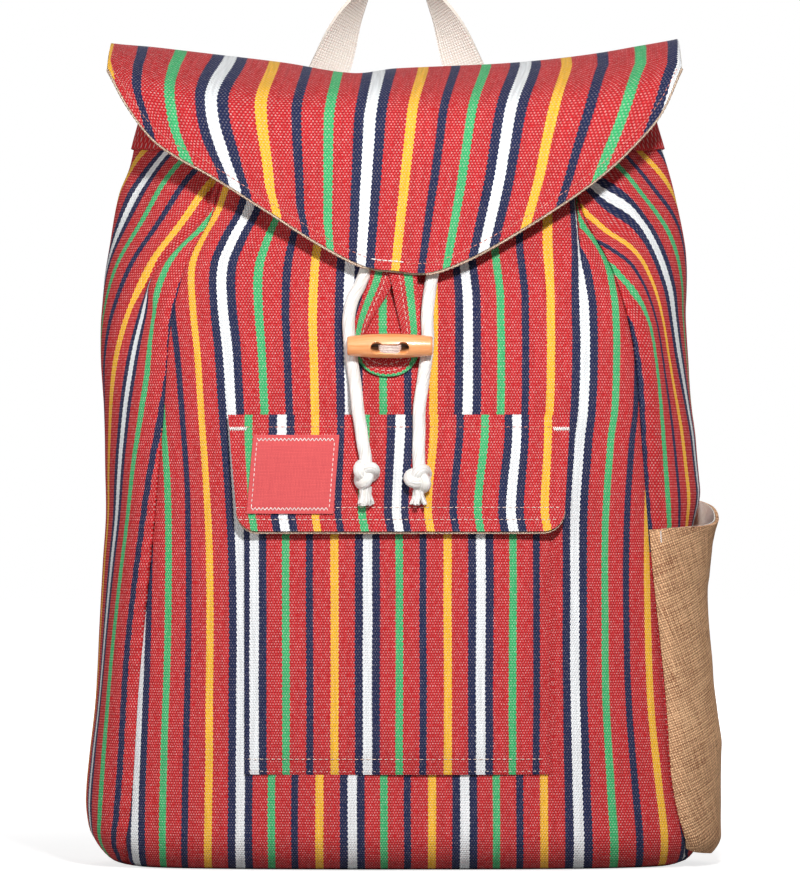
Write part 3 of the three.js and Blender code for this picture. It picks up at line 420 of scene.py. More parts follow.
def stretched_noise(add, vector, across, along, detail=2.0):
    """Noise whose grains are so many millimetres wide across and along the cloth."""
    scaled = add("VectorMath", [vector, (1 / across, 1 / along, 0)], operation="MULTIPLY")
    return add("TexNoise", {"Vector": scaled, "Scale": 1.0, "Detail": detail})


def striped_canvas():
    """Yarn-dyed cotton canvas in plain weave: coloured warp stripes with a pale weft that shows as small
    flecks in staggered rows, stripe edges stepped by every second pick, uneven yarns, and painted shade in
    the grooves between picks."""
    material, add = start_material("striped_cotton_canvas")
    place, across, along = cloth_place(add)
    angle = add("Math", [along, np.pi / PICK], operation="MULTIPLY")
    step = add("Math", [angle], operation="SINE")
    stepped = add("Math", [step, STRIPE_STEP, across], operation="MULTIPLY_ADD")
    drift = stretched_noise(add, place, *DRIFT_GRAIN)
    drifted = add("Math", [drift, STRIPE_DRIFT, stepped], operation="MULTIPLY_ADD")
    repeats = add("Math", [drifted, 1 / REPEAT, WHOLE_REPEATS - STRIPE_DRIFT / 2 / REPEAT],
                  operation="MULTIPLY_ADD")
    stripes = add("ValToRGB", [add("Math", [repeats], operation="FRACT")])
    ramp = stripes.node.color_ramp
    ramp.interpolation = "CONSTANT"
    white, navy, red = linear("#f2f5f7"), linear("#20294f"), linear("#cb272c")
    border = WHITE_WIDTH / 2 + NAVY_BORDER
    bands = [(0, white), (WHITE_WIDTH / 2, navy), (border, red)]
    for middle, width, colour in [(GREEN_AT, GREEN_WIDTH, linear("#3fb872")), (NAVY_AT, NAVY_WIDTH, navy),
                                  (YELLOW_AT, YELLOW_WIDTH, linear("#fbbd33"))]:
        bands += [(middle - width / 2, colour), (middle + width / 2, red)]
    bands += [(REPEAT - border, navy), (REPEAT - WHITE_WIDTH / 2, white)]
    ramp.elements[1].position = bands[1][0] / REPEAT
    for start, _ in bands[2:]:
        ramp.elements.new(start / REPEAT)
    for element, (_, colour) in zip(ramp.elements, bands):
        element.color = colour
    warp = add("Math", [across, np.pi / YARN], operation="MULTIPLY")
    warp_wave = add("Math", [warp], operation="COSINE")
    rib = add("Math", [step], operation="ABSOLUTE")
    weave = add("Math", [warp_wave, step, rib], operation="MULTIPLY_ADD")
    showing = stretched_noise(add, place, *FLECK_GRAIN)
    most = add("MapRange", [showing, *NOISE_SPAN, FLECK_LEAST, FLECK_MOST])
    tint = add("RGBToBW", [stripes])
    keep = add("MapRange", [tint, *NAVY_TINT, FLECK_ON_DARK, 1.0])
    muted = add("Math", [most, keep], operation="MULTIPLY")
    fleck = add("MapRange", [weave, *FLECK_WEAVE, 0.0, muted], interpolation_type="SMOOTHSTEP")
    # painted shade: the stripes' colour darkens in the groove between two picks, less in white than in red
    deepest_painted_shade = add("MapRange", [tint, *WHITE_TINT, GROOVE_SHADE, PALE_GROOVE_SHADE])
    painted_groove_shade = add("MapRange", [rib, 0.0, GROOVE_EDGE, deepest_painted_shade, 1.0])
    painted_shade = add("VectorMath", {0: stripes, "Scale": painted_groove_shade}, operation="SCALE")
    pale = add("Mix", {0: fleck, COLOUR_A: painted_shade, COLOUR_B: linear("#f5e4e0")}, COLOUR_OUT, data_type="RGBA")
    shade = add("MapRange", [stretched_noise(add, place, *YARN_GRAIN), *NOISE_SPAN, *YARN_SHADE])
    coloured = add("VectorMath", {0: pale, "Scale": shade}, operation="SCALE")
    end_material(add, coloured, weave, CANVAS_DEPTH, {"Roughness": 0.88, "Specular IOR Level": 0.2})
    return material


def plain_weave(name, colour, dark, pitch, depth, surface, tones=(0.35, 1.0)):
    """Undyed plain weave: threads over and under each other at one pitch, each thread a little lighter or
    darker along its length, with painted light on the tops of the threads and painted shade in the gaps
    between them."""
    material, add = start_material(name)
    place, across, along = cloth_place(add)
    sines = []
    for way in (across, along):
        angle = add("Math", [way, np.pi / pitch], operation="MULTIPLY")
        sines.append(add("Math", [angle], operation="SINE"))
    weave = add("Math", sines, operation="MULTIPLY")
    warp = stretched_noise(add, place, pitch, THREAD_RUN * pitch)
    weft = stretched_noise(add, place, THREAD_RUN * pitch, pitch)
    over = add("Math", [weave, 0.0], operation="GREATER_THAN")
    thread = add("Mix", {0: over, 2: warp, 3: weft})
    gap = add("Math", [weave], operation="ABSOLUTE")
    # tone: each thread's own random tone, plus painted light on thread tops and painted shade in the gaps
    tone = add("Math", [gap, PAINTED_GAP_SHADE, thread], operation="MULTIPLY_ADD")
    share = add("MapRange", [tone, *tones, 0.0, 1.0])
    cloth = add("Mix", {0: share, COLOUR_A: linear(dark), COLOUR_B: linear(colour)}, COLOUR_OUT,
                data_type="RGBA")
    end_material(add, cloth, gap, depth, surface)
    return material


def twisted_cotton():
    """Soft white cotton cord of loosely twisted yarns: lengthwise strands with darker lines between them."""
    material, add = start_material("twisted_cotton_cord")
    strand = stretched_noise(add, cloth_place(add)[0], *STRAND_GRAIN)
    tone = add("MapRange", [strand, *STRAND_SPAN, 0.0, 1.0])
    colour = add("Mix", {0: tone, COLOUR_A: linear("#ede7de"), COLOUR_B: linear("#fefdfb")}, COLOUR_OUT,
                 data_type="RGBA")
    end_material(add, colour, tone, STRAND_DEPTH,
                 {"Roughness": 0.9, "Specular IOR Level": 0.2, "Sheen Weight": 0.15})
    return material


def varnished_wood():
    """Turned and varnished light wood: warm orange with fine darker grain along the barrel and a soft gloss;
    the attribute gives how deep a point lies in a drilled hole or the slot, where shade is painted in, darker
    the deeper it lies."""
    material, add = start_material("varnished_maple")
    depth = cloth_place(add)[1]
    place = add("TexCoord", out="Object")
    grain_size = tuple(1 / (size * MM) for size in WOOD_GRAIN)
    scaled = add("VectorMath", [place, grain_size], operation="MULTIPLY")
    grain = add("TexNoise", {"Vector": scaled, "Scale": 1.0, "Detail": 4.0})
    tone = add("MapRange", [grain, *NOISE_SPAN, 0.0, 1.0])
    colour = add("Mix", {0: tone, COLOUR_A: linear("#ec9352"), COLOUR_B: linear("#fdb57a")}, COLOUR_OUT,
                 data_type="RGBA")
    # painted shade inside the drilled holes and the slot: the deeper, the darker
    painted_shade = add("MapRange", [depth, *HOLE_PAINTED_SHADE])
    painted_hole_shade = add("Mix", {0: painted_shade, COLOUR_A: colour, COLOUR_B: linear("#3a1d0e")}, COLOUR_OUT,
                 data_type="RGBA")
    end_material(add, painted_hole_shade, grain, WOOD_DEPTH,
                 {"Roughness": 0.38, "Coat Weight": 0.6, "Coat Roughness": 0.18})
    return material


def sewing_thread(name, colour):
    """Spun polyester sewing thread: matt, with a tone that changes a little from stitch to stitch."""
    material, add = start_material(name)
    place = add("TexCoord", out="Object")
    noise = add("TexNoise", {"Vector": place, "Scale": 1 / (SPUN_GRAIN * MM), "Detail": 2.0})
    shade = add("MapRange", [noise, *NOISE_SPAN, *SPUN_SHADE])
    colour = add("VectorMath", {0: linear(colour)[:3], "Scale": shade}, operation="SCALE")
    end_material(add, colour, noise, THREAD_DEPTH, {"Roughness": 0.8, "Specular IOR Level": 0.25})
    return material


canvas = striped_canvas()
lining_cotton = plain_weave("lining_cotton_twill", "#efe2cb", "#c0a582", 0.8, 0.15, {"Roughness": 0.9})
white_cotton = plain_weave("white_cotton_lining", "#f1ece4", "#d9d0c4", 0.8, 0.12, {"Roughness": 0.9})
webbing = plain_weave("natural_cotton_webbing", "#fdf8f1", "#efe5d8", 1.5, 0.35, {"Roughness": 0.9})
edge_cotton = plain_weave("twisted_hem_cotton", "#f6dfc6", "#946850", 0.9, 0.3, {"Roughness": 0.9},
                          (0.4, 0.8))
burlap = plain_weave("jute_burlap", "#ffcea0", "#8c563a", 1.3, 0.5,
                     {"Roughness": 0.95, "Specular IOR Level": 0.1}, (0.39, 0.82))
badge_cloth = plain_weave("salmon_label_cotton", "#e3605f", "#c8494d", 0.7, 0.1, {"Roughness": 0.85})
cotton = twisted_cotton()
wood = varnished_wood()
pale_thread = sewing_thread("pale_sewing_thread", "#e6cfc4")
rose_thread = sewing_thread("rose_sewing_thread", "#d98a7c")
white_thread = sewing_thread("white_sewing_thread", "#efeae6")
tie_thread = sewing_thread("waxed_tie_thread", "#ecd5cb")

# Camera: level with the middle of the photo's frame, far away behind a long lens

VIEW_CENTRE = (1.5, 216.3)
VIEW_WIDTH = 408
VIEW_PLANE = -40
VIEW_DISTANCE = 3500
SENSOR = 36

lens = bpy.data.cameras.new("camera")
lens.sensor_fit = "HORIZONTAL"
lens.sensor_width = SENSOR
lens.lens = SENSOR * VIEW_DISTANCE / VIEW_WIDTH
camera = add_object("camera", lens)
camera.location = (VIEW_CENTRE[0] * MM, (VIEW_PLANE - VIEW_DISTANCE) * MM, VIEW_CENTRE[1] * MM)
camera.rotation_euler = (np.pi / 2, 0, 0)
bpy.context.scene.camera = camera

# The body's walls

CORNER_RUN = BASE_ROUNDING * np.pi / 2
TOP_RUN = CORNER_RUN + BODY_HEIGHT - BASE_ROUNDING


def run_at(z):
    return CORNER_RUN + z - BASE_ROUNDING


def body_section(run):
    """Height, half width, front and back depth and the distances from the middle plane of the left front
    seam, the back seams and the right front seam, at a way up the wall: shares through the stations times the
    full sizes, less a quarter circle at the base edge."""
    turn = np.clip(run, 0, CORNER_RUN) / BASE_ROUNDING
    z = np.where(run > CORNER_RUN, BASE_ROUNDING + run - CORNER_RUN, BASE_ROUNDING * (1 - np.cos(turn)))
    inset = BASE_ROUNDING * (1 - np.sin(turn))
    share = z / BODY_HEIGHT
    sizes = (WIDTH_SHARE, HALF_WIDTH), (FRONT_SHARE, FRONT_DEPTH), (BACK_SHARE, BACK_DEPTH)
    half, front, back = (through(STATIONS, shares, share) * full - inset for shares, full in sizes)
    front_seam = through(SEAM_STATIONS, FRONT_SEAM_SHARE, share) * half
    back_seam = through(STATIONS, BACK_SEAM_SHARE, share) * half
    left_seam = front_seam - through(*LEFT_SEAM_SHIFT, z)
    right_seam = np.minimum(front_seam + through(*RIGHT_SEAM_SHIFT, z), SEAM_LIMIT * half)
    return z, half, front, back, left_seam, back_seam, right_seam


def bulge(share, power):
    """Rounded square outline: 1 in the middle, falling to 0 at the half width."""
    return (1 - np.minimum(1, np.abs(share)) ** power) ** (1 / power)


def stood_out(x, half, z):
    """Sideways place with the bulge of its side, which grows from nothing to full towards the half width."""
    bulged = np.where(x > 0, through(*SIDE_BULGE["right"], z), -through(*SIDE_BULGE["left"], z))
    return x + bulged * smooth(BULGE_START, 1, np.abs(x) / half)


def bare_wall(panel, u, run):
    """Point of a panel without its folds. Front and back run straight across the view between their seams;
    the sides turn by even angles round the middle of the bag from front seam to back seam."""
    z, half, front, back, left_seam, back_seam, right_seam = body_section(run)
    if panel == "front":
        x = (2 * u - 1) * (np.where(u > 0.5, right_seam, left_seam) - SEAM_GAP / 2)
        y = -front * bulge(x / half, FRONT_SQUARENESS)
    elif panel == "back":
        x = (1 - 2 * u) * (back_seam - SEAM_GAP / 2)
        y = back * bulge(x / half, BACK_SQUARENESS)
    else:
        side, share, front_seam = (1, u, right_seam) if panel == "right" else (-1, 1 - u, left_seam)
        front_y = -front * bulge(front_seam / half, FRONT_SQUARENESS)
        back_y = back * bulge(back_seam / half, BACK_SQUARENESS)
        first = np.arctan2(front_y, front_seam) + SEAM_GAP / 2 / np.hypot(front_y, front_seam)
        last = np.arctan2(back_y, back_seam) - SEAM_GAP / 2 / np.hypot(back_y, back_seam)
        angle = mix(first, last, share)
        depth = np.where(angle < 0, front, back)
        power = np.where(angle < 0, FRONT_SQUARENESS, BACK_SQUARENESS)
        reach = ((np.cos(angle) / half) ** power + np.abs(np.sin(angle) / depth) ** power) ** (-1 / power)
        x, y = side * reach * np.cos(angle), reach * np.sin(angle)
    return stacked(stood_out(x, half, z), y, z)


def off_wall(panel, u, run, lift):
    """Point that stands lift off a panel without its folds, along the panel's normal."""
    return raised(lambda *at: bare_wall(panel, *at), u, run, lift)


def folds(panel, u, run):
    """How far the cloth stands off the bare wall: gathers sink it in folds that deepen towards the mouth."""
    z = body_section(run)[0]
    fold = 0.5 + 0.5 * np.cos(TAU * GATHERS[panel] * u)
    return -GATHER_DEPTH * smooth(GATHER_START, BODY_HEIGHT, z) * fold


def on_wall(panel, u, run, lift):
    return off_wall(panel, u, run, lift + folds(panel, u, run))


def on_front(x, z, lift):
    """Point that stands lift off the front panel's cloth, at a place in the view."""
    run = run_at(z)
    *_, left_seam, _, right_seam = body_section(run)
    u = 0.5 + x / 2 / (np.where(x > 0, right_seam, left_seam) - SEAM_GAP / 2)
    return on_wall("front", u, run, lift)


def off_back(x, z, lift):
    """Point that stands lift off the back panel without its folds."""
    run = run_at(z)
    *_, back_seam, _ = body_section(run)
    return off_wall("back", 0.5 - x / 2 / (back_seam - SEAM_GAP / 2), run, lift)


# Drawstring ends from eyelet to knot: x and height of each, and how far both hang ahead of the front panel

FREE_ENDS = {
    "left": [[-16, -16, -16, -15.9, -15.7, -15.4, -15, -14.6, -14.6, -15.8,
              -18.8, -22.2, -24.2, -24.3, -22.8, -21.5, -20.3, -19.3, -17.5, -15.9],
             [388, 385, 380, 373, 364, 352, 340, 328, 316, 304.5,
              297, 290.5, 281.5, 271.5, 260, 249, 240, 231, 219, 210.2]],
    "right": [[16, 16.2, 16.5, 17, 17.6, 18.2, 18.6, 18.8, 18.8, 18.4,
               17, 15.9, 15.4, 15.5, 14.9, 13.2, 11.9, 11.2, 11, 11.1],
              [388, 385, 380, 373, 364, 352, 340, 328, 316, 304.5,
               297, 289, 280, 271, 260, 249, 240, 231, 218, 207.2]],
}
ENDS_AHEAD = [12, 16.5, 18.8, 19.3, 17.6, 14.4, 10.8, 6.9, 4.2, 3.8,
              3.8, 3.8, 3.8, 3.8, 3.8, 4.2, 7, 9.6, 10.4, 11.5]
CHANNEL_LIFT = 6  # of the cord's channel above the mouth's edge
CHANNEL_Z = BODY_HEIGHT + CHANNEL_LIFT
MID_PLY = -CANVAS / 2
EYELET_REACH = 8
CORD_TWIST = 70  # length in which the cord's yarns go once round
CORD_ROUND, CORD_STRANDS = 0.97, 0.035  # shares of the radius: their middle, and how far they stand out
CORD_POINTS, CORD_SIDES = 270, 24
KNOT_AHEAD = 1.6  # of the last point that the cord hangs from
KNOT_SIZE = {"left": np.array([13.8, 12.4, 17]), "right": np.array([15, 12.8, 16])}
KNOT_LEAN = {"left": 0.35, "right": -0.45}  # to the side, in radians
KNOT_SEED = {"left": 7, "right": 8}
KNOT_CORD = 6.0  # thickness of its turns
KNOT_POINTS, KNOT_SIDES = 140, 14
KNOT_TAIL = {"left": 16, "right": 13.5}
TAIL_START, TAIL_TUCKED = 2, 6  # above the knot's lowest point, and length that the knot hides
TAIL_NECK, TAIL_SPREAD = 2.4, {"left": 3.6, "right": 4.6}  # radius of the bundle at its two ends
TAIL_OPENS, TAIL_SHORTEST = 0.3, 0.86  # share of the way where it spreads, and of the length of its yarns
TAIL_STRANDS, TAIL_POINTS, TAIL_SIDES = 34, 9, 6
TAIL_YARN = (1.0, 0.7)  # radius of one yarn at its two ends
TAIL_CURL, TAIL_BEND = 0.5, 0.5  # of each yarn, in millimetres outwards and in radians round the bundle


def cord_swell(turn, arc):
    """Three soft strands that wind slowly round the cord."""
    return CORD_ROUND + CORD_STRANDS * np.cos(3 * (turn - TAU * arc / CORD_TWIST))


def cord_end(side):
    """One free end: straight out of its eyelet, down behind the flap and along the front to its knot."""
    x, z = np.array(FREE_ENDS[side], float)
    hanging = on_front(x, z, 0) - stacked(0, ENDS_AHEAD, 0)
    eyelet = on_front(x[0], CHANNEL_Z, MID_PLY)
    into_knot = hanging[-1] + [0, -KNOT_AHEAD, -KNOT_SIZE[side][2] / 2]
    line = smooth_line([eyelet, eyelet - [0, EYELET_REACH, 0], *hanging, into_knot], CORD_POINTS)
    rings, cloth = tube(line, CORD_DIAMETER / 2, CORD_SIDES, np.array([1.0, 0, 0]), cord_swell)
    cloth[..., 0] -= cloth[..., 1] * CORD_DIAMETER * np.pi / CORD_TWIST
    node = f"drawstring_{side}_end"
    return add_piece(f"{side}_cord", sweep(rings), cotton, [node], cloth, 70), line


def cord_knot(side, centre):
    """Overhand knot as the turns of a trefoil drawn together to a ball under the cord's end, and below it
    the frayed tail, a bundle of yarns that spread and curl apart."""
    t = np.linspace(0, TAU, KNOT_POINTS, endpoint=False)
    turns = stacked(np.sin(t) + 2 * np.sin(2 * t), np.sin(3 * t), np.cos(t) - 2 * np.cos(2 * t))
    size = KNOT_SIZE[side]
    turns = turns / np.abs(turns).max(axis=0) * (size - KNOT_CORD) / 2
    sine, cosine = np.sin(KNOT_LEAN[side]), np.cos(KNOT_LEAN[side])
    line = turns @ np.array([[cosine, 0, -sine], [0, 1, 0], [sine, 0, cosine]])
    line = np.concatenate([line[-2:], line, line[:2]])
    rings, cloth = tube(line, KNOT_CORD / 2, KNOT_SIDES, np.array([0, 1.0, 0.02]), cord_swell)
    skins, cloths = [sweep(rings[2:-2] + centre, closed=True)], [cloth[2:-2].reshape(-1, 2)]
    draw = np.random.default_rng(KNOT_SEED[side])
    angle, spread = draw.uniform(0, TAU, TAIL_STRANDS), np.sqrt(draw.uniform(0, 1, TAIL_STRANDS))
    curl, length = draw.uniform(0, TAU, TAIL_STRANDS), draw.uniform(TAIL_SHORTEST, 1, TAIL_STRANDS)
    way = np.linspace(0, 1, TAIL_POINTS)
    for a, r, c, full in zip(angle, spread, curl, length):
        reach = r * mix(TAIL_NECK, TAIL_SPREAD[side], smooth(TAIL_OPENS, 1, way))
        reach = reach + TAIL_CURL * np.sin(5 * way + c) * way
        bend = a + TAIL_BEND * way * np.sin(c)
        drop = TAIL_START - size[2] / 2 - (KNOT_TAIL[side] - TAIL_TUCKED) * full * way
        yarn = centre + stacked(reach * np.cos(bend), reach * np.sin(bend), drop)
        rings, cloth = tube(yarn, mix(*TAIL_YARN, way), TAIL_SIDES, np.array([1.0, 0, 0]))
        skins.append(sweep(rings))
        cloths.append(cloth.reshape(-1, 2))
    node = f"{side}_knot"
    return add_piece(f"{side}_cord_knot", joined(skins), cotton, [node], np.concatenate(cloths), 80)


for side in FREE_ENDS:
    piece, line = cord_end(side)
    knot = cord_knot(side, line[-1])
    arc_along(line)[-1] * MM

# Body panels

PANEL_NODES = {"front": "front_panel", "right": "right_gusset", "back": "back_panel", "left": "left_gusset"}
PANEL_COLUMNS = {"front": 170, "right": 100, "back": 90, "left": 110}
BASE_ROWS, WALL_ROWS = 12, 190
SEAM_PINCH, SEAM_REACH = 1.4, 2.4  # depth of the cloth at a seam, and the way over which it rises
PUCKER, PUCKER_STEP, PUCKER_REACH = 0.5, 11, 7  # height and length beside a side's seams, and their reach
PUCKER_DRIFT = 23  # height over which their length comes and goes
TUCK_DEPTH = {"front": 2.2, "right": 1.0, "left": 2.2}  # of the pleat that takes up cloth
TUCK_FULL = {"front": 10, "right": 20, "left": 20}  # cloth that it takes up at its full depth
TUCK_REACH = 2  # least way over which it sinks on the sides

FRONT_WHITE_X = -22.8
# How much wider the front's stripes lie than on the flat cloth, by height: left and right of the middle
LEFT_STRETCH = [[0, 157, 249, 281, 306, 324, 338, 400], [1, 1, 1.068, 1.088, 1.064, 1.01, 0.935, 0.8]]
RIGHT_STRETCH = [[0, 172, 218, 235, 266, 295, 318, 346, 400],
                 [1, 0.99, 1.016, 1.038, 1.049, 1.044, 1.05, 1.05, 1.02]]
# How far they sway beside the side seams below the flap and above the base, by height; where across the
# front each sway begins and is full, and which way it goes: 1 is to the left
RIGHT_SWAY = [[0, 290, 300, 312, 320, 330, 345, 400], [0, 0, 0.9, 2.6, 3.1, 2.8, 2.5, 2.5]]
FRONT_SWAYS = [
    ([[0, 262, 275, 290, 300, 309, 318, 328, 337, 400],
      [0, 0, 0.8, 2.6, 3.9, 4.2, 2.8, 1.4, 1.8, 2]], -45, -90, 1),
    (RIGHT_SWAY, 15, 40, 1),
    (RIGHT_SWAY, 66, 92, -1),
    ([[0, 20, 44, 76, 114, 168, 400], [10, 9.5, 6.6, 2.8, 0.8, 0, 0]], 72, 165, -1),
    ([[0, 100, 164, 204, 285, 320, 400], [0, 1, 2.2, 4.5, 4.5, 2, 0]], -90, -116, -1),
]
# Cloth that a fold beside the right seam takes out of the front, by height
FOLD_X, FOLD_REACH = 93.6, 1.6
FOLD_EDGES = (FOLD_X - 1.2, FOLD_X + 0.6)
FOLD_TAKES = [[0, 285, 295, 308, 318, 330, 345, 400], [0, 0, 1, 3.7, 8.5, 17, 21, 24]]
# Cloth of each side by height, counted from its white stripe as if it lay flat from the front seam: beside
# the seam, and beyond the pleat that takes up cloth there. Towards the mouth the stripes lean to the front.
NEAR_CLOTH = {
    "right": [[0, 10, 26, 100, 154, 164, 190, 274, 290, 308, 318, 325, 346, 360, 400],
              [4, 4, 10, 10, 10, 4.4, 4.4, 5, 9, 17, 26, 33, 46, 55, 82]],
    "left": [[0, 140, 204, 230, 256, 285, 313, 330, 343, 352, 400],
             [36, 35, 32, 29.2, 26.6, 27.4, 24.5, 16.5, 13, 12.5, 12]],
}
FAR_CLOTH = {
    "right": [[0, 10, 26, 100, 154, 164, 190, 230, 266, 300, 325, 336, 346, 359, 400],
              [4, 4, 10, 10, 10, 4.4, 5.8, 12, 25, 27, 26.5, 31, 38, 46, 74]],
    "left": [[0, 140, 230, 283, 302, 320, 335, 353, 365, 400],
             [36, 35, 23, 9.5, 4.5, -0.5, -5, -12, -19, -48]],
}
# Cloth let out beside the right seam and taken in again farther round the side, by height, and the ways
# from the seam over which that is done
RIGHT_LET_OUT = [[0, 154, 164, 290, 316, 400], [0, 0, 2, 2, 0, 0]]
RIGHT_TAKEN_IN = [[0, 176, 188, 243, 283, 320, 400], [7.5, 7.5, 7.5, 4.3, 0.3, 0, 0]]
LET_OUT_EDGES, TAKEN_IN_EDGES = (3, 11), (13, 32)
# Place of the pleat from the front seam, and half the way over which it takes up its cloth, by height
PLEAT_AT = {"right": [[0, 400], [18, 18]],
            "left": [[0, 230, 277, 301, 318, 335, 346, 400], [25, 25, 18, 18, 10, 4.5, 3.4, 3.2]]}
PLEAT_REACH = {"right": [[0, 400], [11, 11]],
               "left": [[0, 230, 283, 296, 302, 400], [12, 12, 10, 1.5, 0.05, 0.05]]}
PLEAT_LEAST = 0.04
PLEAT_SPLIT = 0.8  # share of the columns in front of the pleat's fold
PLEAT_GAP = 0.05  # between the fold and the column on each side of it
PLEAT_MARGIN = 3  # that the fold keeps from the seams


def columns_at_pleat(arc, u, at):
    """Grid columns moved along their rows so that two of them lie just either side of the pleat, whose cloth
    then jumps between them instead of running on across it."""
    total = arc[:, -1:]
    count = arc.shape[1]
    share = np.linspace(0, 1, count)
    split = int(PLEAT_SPLIT * count)
    fold = total - np.clip(at, PLEAT_MARGIN, total - PLEAT_MARGIN)
    before = share[:split] / share[split - 1] * (fold - PLEAT_GAP)
    rest = (share[split:] - share[split]) / (1 - share[split])
    moved = np.concatenate([before, fold + PLEAT_GAP + rest * (total - fold - PLEAT_GAP)], axis=1)
    return moved, np.array([np.interp(new, old, row) for new, old, row in zip(moved, arc, u)])


panel_runs = np.concatenate([np.linspace(0, CORNER_RUN, BASE_ROWS),
                             np.linspace(CORNER_RUN, TOP_RUN, WALL_ROWS)[1:]])
for panel, node in PANEL_NODES.items():
    u, run = np.meshgrid(np.linspace(0, 1, PANEL_COLUMNS[panel]), panel_runs)
    arc = arc_along(on_wall(panel, u, run, 0))
    z = body_section(run)[0]
    if panel == "left":
        arc, u = columns_at_pleat(arc, u, through(*PLEAT_AT[panel], z[:, :1]))
    total = arc[:, -1:]
    from_seam = np.minimum(arc, total - arc)
    lift = -SEAM_PINCH * np.exp(-from_seam / SEAM_REACH)
    if panel in ("front", "back"):
        halfway = arc.shape[1] // 2
        away = arc - (arc[:, [halfway - 1]] + arc[:, [halfway]]) / 2
        cloth_across = away - FRONT_WHITE_X
    else:
        away = arc if panel == "right" else total - arc
        near, far = through(*NEAR_CLOTH[panel], z), through(*FAR_CLOTH[panel], z)
        at, reach = through(*PLEAT_AT[panel], z), np.maximum(PLEAT_LEAST, through(*PLEAT_REACH[panel], z))
        counted = away if panel == "right" else -away
        cloth_across = counted + mix(near, far, smooth(at - reach, at + reach, away))
        tuck = np.abs(near - far), np.exp(-((away - at) / (TUCK_REACH + reach / 2)) ** 2)
        uneven = np.sin(TAU * run / PUCKER_STEP + 2 * np.sin(run / PUCKER_DRIFT))
        lift = lift + PUCKER * uneven * np.exp(-from_seam / PUCKER_REACH)
    if panel == "right":
        cloth_across = cloth_across - through(*RIGHT_LET_OUT, z) * smooth(*LET_OUT_EDGES, away)
        cloth_across = cloth_across + through(*RIGHT_TAKEN_IN, z) * smooth(*TAKEN_IN_EDGES, away)
    if panel == "front":
        swayed = away
        for table, start, full, way in FRONT_SWAYS:
            swayed = swayed + way * through(*table, z) * smooth(start, full, away)
        stretch = np.where(away < 0, through(*LEFT_STRETCH, z), through(*RIGHT_STRETCH, z))
        taken = through(*FOLD_TAKES, z)
        cloth_across = swayed / stretch - FRONT_WHITE_X + taken * smooth(*FOLD_EDGES, away)
        tuck = taken, np.exp(-((away - FOLD_X) / FOLD_REACH) ** 2)
    if panel in TUCK_DEPTH:
        lift = lift - TUCK_DEPTH[panel] * np.clip(tuck[0] / TUCK_FULL[panel], 0, 1) * tuck[1]
    lift = (lift + waves(panel, away, z)) * smooth(0, CORNER_RUN / 2, run)
    add_ply(f"{panel}_canvas", on_wall(panel, u, run, lift), on_wall(panel, u, run, lift - CANVAS),
            canvas, node, stacked(cloth_across, run))

# Base: a flat panel inside the turned-in edges of the walls, with its outline drawn in to the middle

BASE_INSET = 0.5
BASE_LIFT = 0.1
outline = np.concatenate([bare_wall(p, np.linspace(0, 1, 40, endpoint=False), 0.0) for p in PANEL_NODES])
edge = outline * (1 - BASE_INSET / np.linalg.norm(outline, axis=1, keepdims=True))
disc = np.linspace(0.02, 1, 14)[:, None, None] * edge[None]
disc = np.concatenate([disc, disc[:, :1]], axis=1)
disc[..., 2] = BASE_LIFT
add_ply("base_canvas", disc + [0, 0, CANVAS], disc, canvas, "base_panel", disc[..., :2])

# Drawstring casing: a strip folded over the mouth's edge, with the cord's channel in its fold

CHANNEL_RADIUS = 4.0
CHANNEL_RUN = TOP_RUN + CHANNEL_LIFT
CASING_DROP, NECK_DROP = 16, 2
HEM_RUN = TOP_RUN - CASING_DROP
NECK_RUN = TOP_RUN - NECK_DROP
CASING_LEG = CANVAS / 2 + SEAM_GAP
CASING_RED, CASING_SPREAD = 30.6, 0.24  # cut along the stripes, from the red between two of them
CASING_COLUMNS = {"front": 120, "right": 60, "back": 100, "left": 60}


def casing_wall(radius, leg):
    """Way up the wall and height off it: up the outside, over the channel and down the inside."""
    turn = np.linspace(0, np.pi, 11)
    legs = np.linspace(HEM_RUN, NECK_RUN, 4)
    run = np.concatenate([legs, CHANNEL_RUN + radius * np.sin(turn), legs[::-1]])
    lift = np.concatenate([0 * legs + leg, radius * np.cos(turn), 0 * legs - leg])
    return run, MID_PLY + lift


outer_run, outer_lift = casing_wall(CHANNEL_RADIUS + CANVAS, CASING_LEG + CANVAS)
inner_run, inner_lift = casing_wall(CHANNEL_RADIUS, CASING_LEG)
section_run = np.concatenate([outer_run, inner_run[::-1]])
section_lift = np.concatenate([outer_lift, inner_lift[::-1]])
rings = np.concatenate([
    on_wall(panel, np.linspace(0, 1, count, endpoint=False)[:, None], section_run[None], section_lift[None])
    for panel, count in CASING_COLUMNS.items()
])
strip = CASING_RED + CASING_SPREAD * (section_run - HEM_RUN)
cloth = stacked(strip, arc_along(rings[:, 0])[:, None])
add_piece("mouth_casing", sweep(rings, closed=True), canvas, ["drawstring_casing"], cloth)

# Flap: a profile from the back seam over the mouth to the hanging tip, carried across the bag

FLAP_HALF_WIDTH = 148
FLAP_SEAM_HALF_WIDTH = 116
FLAP_SEAM_HEIGHT = 348
FLAP_RIDGE_HEIGHT = 405
FLAP_TIP_HEIGHT = 302
FLAP_OVERHANG = 72
FLAP_SET_BACK = 22
FLAP_EASE = 2
HORN_RISE = 13
FLAP_REAR_TURN = 0.3
FLAP_LINE = [[-0.36, 0.025], [0, 0], [0.46, 0.05], [0.82, 0.18], [0.93, 0.4], [0.97, 0.7], [1, 1]]
# Drop of the hanging edge from the ridge, as a share of the tip's, by the way out from the middle
EDGE_STATIONS = [0, 0.1, 0.25, 0.45, 0.63, 0.82, 0.92, 1]
LEFT_EDGE = [0.99, 0.971, 0.864, 0.68, 0.515, 0.368, 0.235, 0.1]
RIGHT_EDGE = [0.99, 1, 0.922, 0.757, 0.583, 0.368, 0.25, 0.1]
RIGHT_HORN_INSET, HORN_START = 2.5, 0.75
